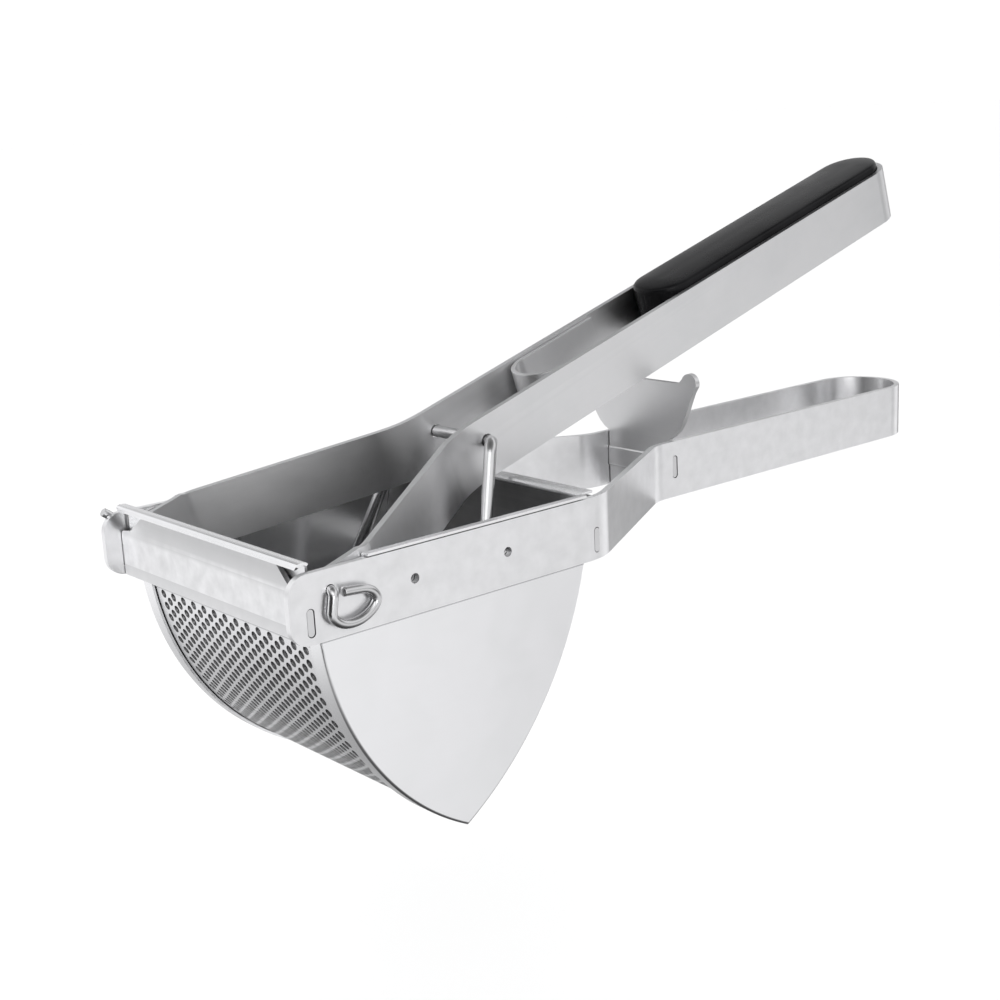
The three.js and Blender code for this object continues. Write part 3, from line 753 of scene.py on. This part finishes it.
def front_plate():
    half = [(50.2, -10), (50.2, 3.4), (49.4, 4.2), (44.4, 4.9), (38.6, 9.2), (37.4, 9.8)]
    outline = half + [(-y, z) for y, z in reversed(half)]
    plate = outline_face("front_plate_bowed", [(FRONT_PLATE_X, y, z) for y, z in outline])
    edit(plate)
    for z in (2.0, 3.6, 5.2, 6.8, 8.3):
        bpy.ops.mesh.select_all(action="SELECT")
        bpy.ops.mesh.bisect(plane_co=(0, 0, z * MM), plane_no=(0, 0, 1))
    mesh = bmesh.from_edit_mesh(plate.data)
    for vertex in mesh.verts:
        rise = max(0.0, vertex.co.z / MM - BOW_START) / BOW_HEIGHT
        vertex.co.x += BOW * MM * rise * rise
    bmesh.update_edit_mesh(plate.data)
    clear()
    thick(plate, PLATE)
    tenoned(plate, FRONT_TENON_X, TENON_LOW, TENON_REACH)
    soften(plate, 0.25)
    place(plate, "frame", "satin_steel", SATIN_PLATE, "front_plate")


def rear_cross_bar():
    clear()
    bpy.ops.mesh.primitive_cube_add(size=1, location=(REAR_BAR_X * MM, 0, -0.1 * MM))
    bar = named("rear_cross_bar_detailed")
    bar.scale = (STRIP * MM, 100.4 * MM, 19.8 * MM)
    settle(bar)
    tenoned(bar, REAR_BAR_X, TENON_LOW, TENON_REACH)
    soften(bar, 0.3)
    place(bar, "frame", "satin_steel", SATIN_PLATE, "rear_cross_bar")


def guard_plate():
    flank = [(14.9, -10), (14.9, 10.4), (15.6, 10.8), (17.4, 11.8), (19.6, 13.8), (21.6, 16.6)]
    flank += [(23.2, 20), (24.8, 24), (26.6, 28.2)]
    (horn_y, horn_z), radius = HORN["centre"], HORN["radius"]
    horn = []
    for k in range(13):
        turn = math.radians(-20 + 175 * k / 12)
        horn.append((horn_y + radius * math.cos(turn), horn_z + radius * math.sin(turn)))
    saddle = [(20.6, 31.6), (19.6, 31.0)]
    half = flank + horn + saddle
    outline = half + [(-y, z) for y, z in reversed(half)]
    plate = thick(outline_face("guard_plate_detailed", [(181, y, z) for y, z in outline]), STRIP)
    tenoned(plate, GUARD_X, GUARD_TENON_LOW, GUARD_TENON_REACH)
    soften(plate, 0.4, 3)
    place(plate, "frame", "satin_steel", SATIN_PLATE, "guard_plate")


def hinge_pin():
    y = PIN_Y
    x, z = HINGE
    loop = [(8.0, 3.3), (10.9, 3.1), (14.5, 2.8), (18.0, 2.3), (20.7, 0.8), (21.8, -1.6), (19.9, -4.1)]
    loop += [(15.8, -6.0), (11.4, -6.1), (8.2, -4.6), (6.9, -2.0), (x, z)]
    near = flowing([(px, -y, pz) for px, pz in loop])
    through = [(6.9, -y, -2.0), (x, -y, z), (x, y, z), (3.0, y, 5.4), (-3.4, y, 10.2)]
    pin = wire("hinge_pin_detailed", near + bent(through, [1.9, 1.9, 3.0]), PIN_RADIUS)
    soften(pin, 0.45, 3, 60)
    place(pin, "frame", "wire_steel", WIRE, "hinge_pin")


# ---------------------------------------------------------------- basket
def side_plate(name, side, stands_for):
    """The V-shaped sheet: flanges bent in round the curved walls, a rim bent out over the strip."""
    mid = SHEET / 2
    top = RIM_TOP
    front = arc_points(FRONT_ARC, mid, -RIM - 1, keel_height(mid), 36)
    back = arc_points(BACK_ARC, mid, -RIM - 1, keel_height(mid), 36)
    outline = [(3.0, 9.5), (3.0, -7.0)] + front + back[::-1][1:]
    outline += [(105.2, -2), (105.2, 9.8), (103.6, 9.8), (103.6, top), (RIM_START, top)]
    outline += [(RIM_START, 9.8), (20.2, 9.8), (20.2, 9.6)]
    y = side * SIDE_Y
    plate = outline_face(name, [(x, y, z) for x, z in outline])
    edit(plate)
    inward = (0, -side * (FLANGE - 0.4) * MM, 0)
    pick(plate, "EDGE", lambda m, e: m.z < -RIM - 1.05)
    bpy.ops.mesh.extrude_region_move(TRANSFORM_OT_translate={"value": inward})
    pick(plate, "EDGE", lambda m, e: m.z > top - 0.05)
    out = (0, side * OUTER_RIM * MM, 0)
    bpy.ops.mesh.extrude_region_move(TRANSFORM_OT_translate={"value": out})
    pick(
        plate,
        "EDGE",
        lambda m, e: len(e.link_faces) == 2 and e.calc_face_angle(0) > 1.2 and abs(m.y - y) < 0.01,
    )
    bpy.ops.mesh.bevel(offset=0.55 * MM, segments=3, affect="EDGES")
    clear()
    thick(plate, SHEET)
    cut(plate, pin_hole())
    cut(plate, *drain_holes())
    soften(plate, 0.12, 2, 50)
    place(plate, "frame", "basket_steel", SHEET_SIDE, stands_for)


def hole_cell():
    """One punched hole: a ring of twelve edges extruded out to the six-sided cell around it."""
    half, step = HOLE_PITCH / 2, ROW_STEP
    side = (half * half + step * step) / HOLE_PITCH
    near = side - step * step / half
    quarter = [(0, side), (step / 2, (side + near) / 2), (step, near), (step, 0)]
    right = quarter + [(u, -v) for u, v in quarter[2::-1]]
    around = right + [(-u, v) for u, v in right[5:0:-1]]
    clear()
    bpy.ops.mesh.primitive_circle_add(vertices=12, radius=HOLE_RADIUS * MM, fill_type="NOTHING")
    cell = named("hole_cell")
    edit(cell)
    bpy.ops.mesh.select_all(action="SELECT")
    bpy.ops.mesh.extrude_region_move()
    mesh = bmesh.from_edit_mesh(cell.data)
    for vertex in mesh.verts:
        if vertex.select:
            turn = math.atan2(vertex.co.x, vertex.co.y)
            u, v = around[round(turn / (math.pi / 6)) % 12]
            vertex.co = Vector((u, v, 0)) * MM
    bmesh.update_edit_mesh(cell.data)
    clear()
    return cell


def copy_of(piece, name):
    twin = piece.copy()
    twin.data = piece.data.copy()
    twin.name = name
    bpy.context.scene.collection.objects.link(twin)
    return twin


def shifted(piece, u, v):
    piece.data.transform(Matrix.Translation((u * MM, v * MM, 0)))
    return piece


def arrayed(piece, count, u, v):
    return modify(
        piece,
        "ARRAY",
        count=count,
        use_relative_offset=False,
        use_constant_offset=True,
        constant_offset_displace=(u * MM, v * MM, 0),
    )


def punched_sheet(name, rows, above, below):
    """The flat punched sheet: x down the curve from the first row, y across the basket.
    above lists how far the plain part reaches, step by step; below is the plain part at the keel."""
    first = -HOLE_PITCH * (COLUMNS - 1) / 2
    cell = hole_cell()
    whole = arrayed(shifted(copy_of(cell, "whole_row"), 0, first), COLUMNS, 0, HOLE_PITCH)
    between = shifted(cell, ROW_STEP, first + HOLE_PITCH / 2)
    between = arrayed(between, COLUMNS - 1, 0, HOLE_PITCH)
    last = shifted(copy_of(whole, "last_row"), 2 * ROW_STEP * (rows - 1), 0)
    pairs = arrayed(join("row_pair", whole, between), rows - 1, 2 * ROW_STEP, 0)
    sheet = join(name, pairs, last)
    edit(sheet)
    bpy.ops.mesh.select_all(action="SELECT")
    bpy.ops.mesh.remove_doubles(threshold=0.02 * MM)
    end = 2 * ROW_STEP * (rows - 1)
    border = lambda e: len(e.link_faces) == 1 and e.calc_length() > LONGEST_HOLE_EDGE * MM
    for side in (-1, 1):
        pick(sheet, "EDGE", lambda m, e: border(e) and side * m.y > -first + 0.7)
        bpy.ops.mesh.extrude_region_move()
        flat = Vector((0, side * WALL_HALF, 0)) * MM
        bpy.ops.transform.resize(value=(1, 0, 1), center_override=flat)
    pick(sheet, "EDGE", lambda m, e: border(e) and m.x > end - 0.01 and abs(m.y) < WALL_HALF - 0.05)
    bpy.ops.mesh.extrude_region_move()
    bpy.ops.transform.resize(value=(0, 1, 1), center_override=((end + below) * MM, 0, 0))
    pick(sheet, "EDGE", lambda m, e: border(e) and m.x < 0.01 and abs(m.y) < WALL_HALF - 0.05)
    bpy.ops.mesh.extrude_region_move()
    bpy.ops.transform.resize(value=(0, 1, 1), center_override=(-above[0] * MM, 0, 0))
    for nearer, farther in zip(above, above[1:]):
        step = {"value": ((nearer - farther) * MM, 0, 0)}
        bpy.ops.mesh.extrude_region_move(TRANSFORM_OT_translate=step)
    clear()
    return sheet


def wrap(sheet, arc, row_turn, upper, above):
    """Bends the flat sheet onto its arc, and its plain upper part along the upper line (x, z),
    whose points lie at the lengths in above from the first row."""
    radius = arc["radius"] - WALL_MID
    cx, cz = arc["centre"]
    for vertex in sheet.data.vertices:
        u = vertex.co.x / MM
        if u >= -above[0] - 1e-3:
            turn = row_turn - u / radius
            x, z = cx + arc["side"] * radius * math.cos(turn), cz + radius * math.sin(turn)
        else:
            k = min(range(len(above)), key=lambda i: abs(above[i] + u))
            x, z = upper[k]
        vertex.co = Vector((x, vertex.co.y / MM, z)) * MM


def curved_wall(name, arc, row_turn, rows, upper):
    radius = arc["radius"] - WALL_MID
    cz = arc["centre"][1]
    start = radius * (math.asin((upper[0][1] - cz) / radius) - row_turn)
    above = [start]
    for before, after in zip(upper, upper[1:]):
        above.append(above[-1] + (Vector(after) - Vector(before)).length)
    keel_turn = math.asin((keel_height(WALL_MID) - cz) / radius)
    below = radius * (row_turn - keel_turn) - 2 * ROW_STEP * (rows - 1) - KEEL_GAP
    sheet = punched_sheet(name, rows, above, below)
    wrap(sheet, arc, row_turn, upper, above)
    return sheet


def dull_and_shaded_inside(wall, centre):
    """The dull finish with painted shade inside the basket and inside the holes: a much darker steel on
    the inner faces; centre is the curve's own (x, z).
    """
    wall.data.materials.append(SHEET_INSIDE_SHADED)
    middle = Vector((centre[0], 0, centre[1])) * MM
    for face in wall.data.polygons:
        inward = middle - face.center
        inward.y = 0
        if face.center.z < RIM_FOLD * MM and face.normal.dot(inward.normalized()) > -0.5:
            face.material_index = 1


def front_wall():
    foot = arc_points(FRONT_ARC, WALL_MID, -RIM - 1, -RIM - 2, 1)[0]
    fold = [(3.0, 10.9), (2.8, 11.6), (2.3, 12.05), (1.6, 12.15), (0.4, 12.15)]
    fold += [(-0.1, 12.0), (-0.4, 11.6), (-0.4, 10.7)]
    upper = [foot, (5.6, -10.1), (4.0, -8.1), (3.2, -7.2), (3.0, -6.3)] + fold
    wall = curved_wall("front_wall_punched", FRONT_ARC, FRONT_FIRST_ROW, ROWS, upper)
    for vertex in wall.data.vertices:
        if vertex.co.z > 10.8 * MM and vertex.co.x < 2.9 * MM:
            vertex.co.y *= 50.2 / WALL_HALF
    thick(wall, SHEET)
    smooth(wall)
    place(wall, "frame", "basket_steel", SHEET_WALL, "front_wall")
    dull_and_shaded_inside(wall, FRONT_ARC["centre"])


def back_wall():
    foot = arc_points(BACK_ARC, WALL_MID, -2, -3, 1)[0]
    x = foot[0]
    fold = [(x, RIM_FOLD), (x + 0.15, 10.3), (x + 0.6, 10.7), (x + 1.4, 10.75), (109.3, 10.75)]
    wall = curved_wall("back_wall_punched", BACK_ARC, BACK_FIRST_ROW, ROWS, [foot] + fold)
    thick(wall, SHEET)
    smooth(wall)
    place(wall, "frame", "basket_steel", SHEET_WALL, "back_wall")
    dull_and_shaded_inside(wall, BACK_ARC["centre"])


# ---------------------------------------------------------------- upper handle
def crank(s):
    """How far the flared arm rises above the handle's plane."""
    return max(0.0, ARM_END - s) * ARM_SLOPE + max(0.0, EAR_SLOPE_END - s) * EAR_SLOPE


def ear_stations():
    """The flat ear in the handle's own frame: round about the pin, then straight edges."""
    x, z = HINGE[0], HINGE[1] - HANDLE_ROOT
    s0 = x * math.cos(HANDLE_ANGLE) + z * math.sin(HANDLE_ANGLE)
    t0 = z * math.cos(HANDLE_ANGLE) - x * math.sin(HANDLE_ANGLE)
    stations = []
    for k in range(1, 13):
        turn = math.pi / 2 * k / 12
        half = EAR_RADIUS * math.sin(turn)
        s = s0 - EAR_RADIUS * math.cos(turn)
        low = half if k < 9 else half + (s - s0 + EAR_RADIUS / 2) * 0.5
        stations.append((s, EAR_Y, t0 - low, t0 + half))
    for share, top in ((0.3, 0.1), (0.6, 0.25), (0.8, 0.5), (0.92, 0.8)):
        s = s0 + (EAR_END - s0) * share
        low = stations[11][2] + (crank(EAR_END) - UPPER_HEIGHT - stations[11][2]) * share
        high = t0 + EAR_RADIUS + (crank(EAR_END) - t0 - EAR_RADIUS) * top
        stations.append((s, EAR_Y, low, high))
    return stations


def upper_handle_strip():
    loop_x = UPPER_END - UPPER_Y
    line = rounded(
        [(EAR_END, EAR_Y), (EAR_BEND, EAR_Y, 8), (ARM_END, UPPER_Y, 36), (loop_x, UPPER_Y)], 16
    )
    for k in range(1, 21):
        turn = math.pi / 2 * k / 20
        line.append(Vector((loop_x + UPPER_Y * math.sin(turn), UPPER_Y * math.cos(turn))))
    stations = ear_stations()
    stations += [(p.x, p.y, crank(p.x) - UPPER_HEIGHT, crank(p.x)) for p in line]
    strip = thick(both_sides(upright_run("upper_handle_detailed", stations)), STRIP)
    on_handle(strip)
    cut(strip, pin_hole(), hole_cutter(*LINK, LINK_RADIUS + LINK_SLACK, 20))
    soften(strip, 0.3)
    place(strip, "upper_handle", "satin_steel", SATIN_UPPER, "upper_handle_strip")


def handle_strap():
    y = STRAP_Y
    line = rounded([(STRAP_BACK, y), (STRAP_FRONT, y, y - 0.3), (STRAP_FRONT, 0)], 18)
    stations = [(p.x, p.y, -19.0, -0.8) for p in line]
    strap = thick(both_sides(upright_run("handle_strap_detailed", stations)), STRAP)
    on_handle(strap)
    soften(strap, 0.3)
    place(strap, "upper_handle", "satin_steel", SATIN_UPPER, "handle_strap")


def grip():
    """A round bar end stretched along the handle, then drawn up and in, ring by ring."""
    clear()
    bpy.ops.mesh.primitive_circle_add(
        vertices=64,
        radius=GRIP_RADIUS * MM,
        fill_type="NGON",
        location=((GRIP_FRONT + GRIP_RADIUS) * MM, 0, GRIP_LOW * MM),
    )
    piece = settle(named("grip_crowned"))
    edit(piece)
    pick(piece, "VERT", lambda m, _: m.x > GRIP_FRONT + GRIP_RADIUS + 0.01)
    stretch = GRIP_BACK - GRIP_FRONT - 2 * GRIP_RADIUS
    bpy.ops.transform.translate(value=(stretch * MM, 0, 0))
    bpy.ops.mesh.select_all(action="SELECT")
    bpy.ops.mesh.normals_make_consistent(inside=False)
    bpy.ops.mesh.select_mode(type="FACE")
    bpy.ops.mesh.select_all(action="SELECT")
    bpy.ops.mesh.extrude_region_move(TRANSFORM_OT_translate={"value": (0, 0, 15.6 * MM)})
    bpy.ops.mesh.extrude_region_move(TRANSFORM_OT_translate={"value": (0, 0, 0.8 * MM)})
    level = 1.4
    rings = [(0.18, 2.0), (0.35, 2.35), (0.5, 2.55), (1.1, 2.75), (2.0, 2.92), (2.6, 3.04), (2.6, 3.11)]
    for inset, height in rings:
        bpy.ops.mesh.inset(thickness=inset * MM, depth=0)
        bpy.ops.transform.translate(value=(0, 0, (height - level) * MM))
        level = height
    clear()
    for vertex in piece.data.vertices:
        heel = max(0.0, (vertex.co.x / MM - HEEL_START) / HEEL_LENGTH)
        if vertex.co.z > 0.5 * MM:
            vertex.co.z += HEEL_RISE * MM * heel * heel
    outward(piece)
    on_handle(piece)
    smooth(piece, 50)
    place(piece, "upper_handle", "grip_black", BLACK, "grip")


# ---------------------------------------------------------------- press
def link_wire():
    foot, shoulder = LINK_FOOT, LINK_SHOULDER
    half = [(foot[0], 28.1, foot[2]), foot, shoulder, (LINK[0], 16.0, LINK[1])]
    other = [(x, -y, z) for x, y, z in reversed(half)]
    line = bent(half + other, [3.4, 5.2, 5.5, 5.5, 5.2, 3.4], 10)
    link = wire("link_wire_detailed", line, LINK_RADIUS)
    soften(link, 0.5, 3, 60)
    place(link, "press", "wire_steel", WIRE, "link_wire")


def press_plate():
    bottom = keel_height(PRESS_INSET)
    front = arc_points(FRONT_ARC, PRESS_INSET, PRESS_TOP, bottom, 24)
    back = arc_points(BACK_ARC, PRESS_INSET, PRESS_TOP, bottom, 24)
    plate = profile_sheet("press_plate_detailed", front + back[::-1][1:], PRESS_HALF)
    thick(plate, PRESS)
    soften(plate, 0.25, 2, 50)
    # The press plate gets the darker inside steel: painted shade for its place deep in the basket.
    place(plate, "press", "basket_steel", SHEET_INSIDE_SHADED, "press_plate")


def press_lug(name, side, stands_for):
    edge = arc_points(BACK_ARC, PRESS_INSET + 0.9, -26, -44, 10)
    nose = []
    for k in range(13):
        turn = math.radians(280 - 160 * k / 12)
        x = LINK_FOOT[0] + LUG_RADIUS * math.cos(turn)
        nose.append((x, LINK_FOOT[2] + LUG_RADIUS * math.sin(turn)))
    y = side * LUG_Y
    lug = thick(outline_face(name, [(x, y, z) for x, z in edge + nose]), LUG)
    cut(lug, hole_cutter(LINK_FOOT[0], LINK_FOOT[2], LINK_RADIUS + 0.2))
    soften(lug, 0.25)
    place(lug, "press", "basket_steel", SHEET_WALL, stands_for)


frame_strip()
front_plate()
rear_cross_bar()
guard_plate()
hinge_pin()
side_plate("side_plate_near_bent", -1, "side_plate_near")
side_plate("side_plate_far_bent", 1, "side_plate_far")
front_wall()
back_wall()
upper_handle_strip()
handle_strap()
grip()
link_wire()
press_plate()
press_lug("press_lug_near_detailed", -1, "press_lug_near")
press_lug("press_lug_far_detailed", 1, "press_lug_far")


# ---------------------------------------------------------------- floor, light and camera, in metres
FLOOR_SIZE = 60
FLOOR_Z = -0.2


def floor():
    """A wide pale floor, kept out of the metal's mirror image."""
    clear()
    bpy.ops.mesh.primitive_plane_add(size=FLOOR_SIZE, location=(0, 0, FLOOR_Z))
    sheet = named("floor")
    material = bpy.data.materials.new("pale floor")
    material.use_nodes = True
    tree = material.node_tree
    shader = tree.nodes["Principled BSDF"]
    shader.inputs["Roughness"].default_value = 0.9
    coordinates = node(tree, "ShaderNodeTexCoord")
    speckle = node(tree, "ShaderNodeTexNoise", Scale=3.0, Detail=3.0)
    tone = node(tree, "ShaderNodeMix", data_type="RGBA")
    tone.inputs["A"].default_value = (0.92, 0.92, 0.92, 1)
    tone.inputs["B"].default_value = (0.94, 0.94, 0.94, 1)
    tree.links.new(coordinates.outputs["Object"], speckle.inputs["Vector"])
    tree.links.new(speckle.outputs["Fac"], tone.inputs["Factor"])
    tree.links.new(tone.outputs["Result"], shader.inputs["Base Color"])
    sheet.data.materials.append(material)
    sheet.visible_glossy = False


# The room that the metal mirrors: brightness by height, from straight down (-1) to overhead (1),
# then soft round cards (degrees round from -Y towards +X, degrees up, inner and outer radius, shade).
ROOM = (
    (-1.0, 0.06),
    (-0.78, 0.16),
    (-0.6, 0.55),
    (-0.42, 1.08),
    (-0.2, 1.04),
    (-0.09, 0.9),
    (0.0, 0.6),
    (0.16, 0.85),
    (0.34, 1.1),
    (0.62, 1.0),
    (0.76, 0.35),
    (1.0, 0.15),
)
CARDS = (
    (128, -12, 16, 34, 0.06),
    (64, 2, 7, 18, 0.22),
    (48, -21, 2, 9, 0.6),
    (-78, -4, 24, 40, 0.03),
    (152, 38, 9, 22, 0.3),
)
SKY_STRENGTH = 1.12
COOL = 1.01  # the mirrored room is a trace bluer than grey

KEY = {"power": 1.5, "size": (0.9, 0.6), "location": (-0.5, -0.6, 0.8), "target": (0.1, 0, 0)}
FILL = {"power": 3, "size": (0.8, 0.4), "location": (-0.5, -1.2, 0.12), "target": (0.06, 0.03, 0.02)}

EYE = (-0.2160, -0.3893, 0.1271)
AZIMUTH, ELEVATION, ROLL = -40.23, 14.06, -2.77
SENSOR, LENS = 36, 56.45


def towards(around, up):
    """The direction so many degrees round from -Y towards +X, and so many up."""
    around, up = math.radians(around), math.radians(up)
    return math.sin(around) * math.cos(up), -math.cos(around) * math.cos(up), math.sin(up)


def surroundings():
    """White all round, but the metal mirrors a shaded room with soft cards in it."""
    world = bpy.data.worlds.new("studio")
    bpy.context.scene.world = world
    world.use_nodes = True
    tree = world.node_tree
    white = tree.nodes["Background"]
    white.inputs["Color"].default_value = (1, 1, 1, 1)
    white.inputs["Strength"].default_value = SKY_STRENGTH
    room = node(tree, "ShaderNodeBackground", Strength=1.0)
    direction = node(tree, "ShaderNodeTexCoord")
    split = node(tree, "ShaderNodeSeparateXYZ")
    height = node(tree, "ShaderNodeMapRange", **{"From Min": -1.0, "From Max": 1.0})
    ramp = node(tree, "ShaderNodeValToRGB")
    shades = ramp.color_ramp.elements
    shades[0].color = (ROOM[0][1],) * 3 + (1,)
    shades[1].color = (ROOM[-1][1],) * 3 + (1,)
    for level, shade in ROOM[1:-1]:
        shades.new((level + 1) / 2).color = (shade, shade, shade * COOL, 1)
    link = tree.links.new
    link(direction.outputs["Generated"], split.inputs["Vector"])
    link(split.outputs["Z"], height.inputs["Value"])
    link(height.outputs["Result"], ramp.inputs["Fac"])
    seen = ramp.outputs["Color"]
    for around, up, inner, outer, shade in CARDS:
        aim = node(tree, "ShaderNodeVectorMath", operation="DOT_PRODUCT")
        aim.inputs[1].default_value = towards(around, up)
        limits = {"From Min": math.cos(math.radians(outer)), "From Max": math.cos(math.radians(inner))}
        soft = node(tree, "ShaderNodeMapRange", interpolation_type="SMOOTHSTEP", **limits)
        card = node(tree, "ShaderNodeMix", data_type="RGBA")
        card.inputs["B"].default_value = (shade, shade, shade * COOL, 1)
        link(direction.outputs["Generated"], aim.inputs[0])
        link(aim.outputs["Value"], soft.inputs["Value"])
        link(soft.outputs["Result"], card.inputs["Factor"])
        link(seen, card.inputs["A"])
        seen = card.outputs["Result"]
    link(seen, room.inputs["Color"])
    ray = node(tree, "ShaderNodeLightPath")
    mixed = node(tree, "ShaderNodeMixShader")
    link(ray.outputs["Is Glossy Ray"], mixed.inputs[0])
    link(white.outputs["Background"], mixed.inputs[1])
    link(room.outputs["Background"], mixed.inputs[2])
    link(mixed.outputs["Shader"], tree.nodes["World Output"].inputs["Surface"])


def softbox(name, power, size, location, target):
    light = bpy.data.lights.new(name, "AREA")
    light.shape = "RECTANGLE"
    light.size, light.size_y = size
    light.energy = power
    lamp = bpy.data.objects.new(name, light)
    bpy.context.scene.collection.objects.link(lamp)
    lamp.location = location
    lamp.rotation_euler = (Vector(target) - Vector(location)).to_track_quat("-Z", "Y").to_euler()


def camera():
    azimuth, elevation, roll = (math.radians(a) for a in (AZIMUTH, ELEVATION, ROLL))
    back = Vector((
        math.sin(azimuth) * math.cos(elevation),
        -math.cos(azimuth) * math.cos(elevation),
        math.sin(elevation),
    ))
    right = (-back).cross(Vector((0, 0, 1))).normalized()
    up = right.cross(-back)
    across = math.cos(roll) * right + math.sin(roll) * up
    over = -math.sin(roll) * right + math.cos(roll) * up
    lens = bpy.data.cameras.new("camera")
    lens.sensor_width = SENSOR
    lens.lens = LENS
    lens.clip_start = 0.01
    eye = bpy.data.objects.new("camera", lens)
    bpy.context.scene.collection.objects.link(eye)
    turn = Matrix((across, over, back)).transposed().to_4x4()
    eye.matrix_world = Matrix.Translation(EYE) @ turn
    bpy.context.scene.camera = eye


floor()
surroundings()
softbox("key", **KEY)
softbox("fill", **FILL)
camera()
bpy.context.scene.view_settings.view_transform = "Standard"
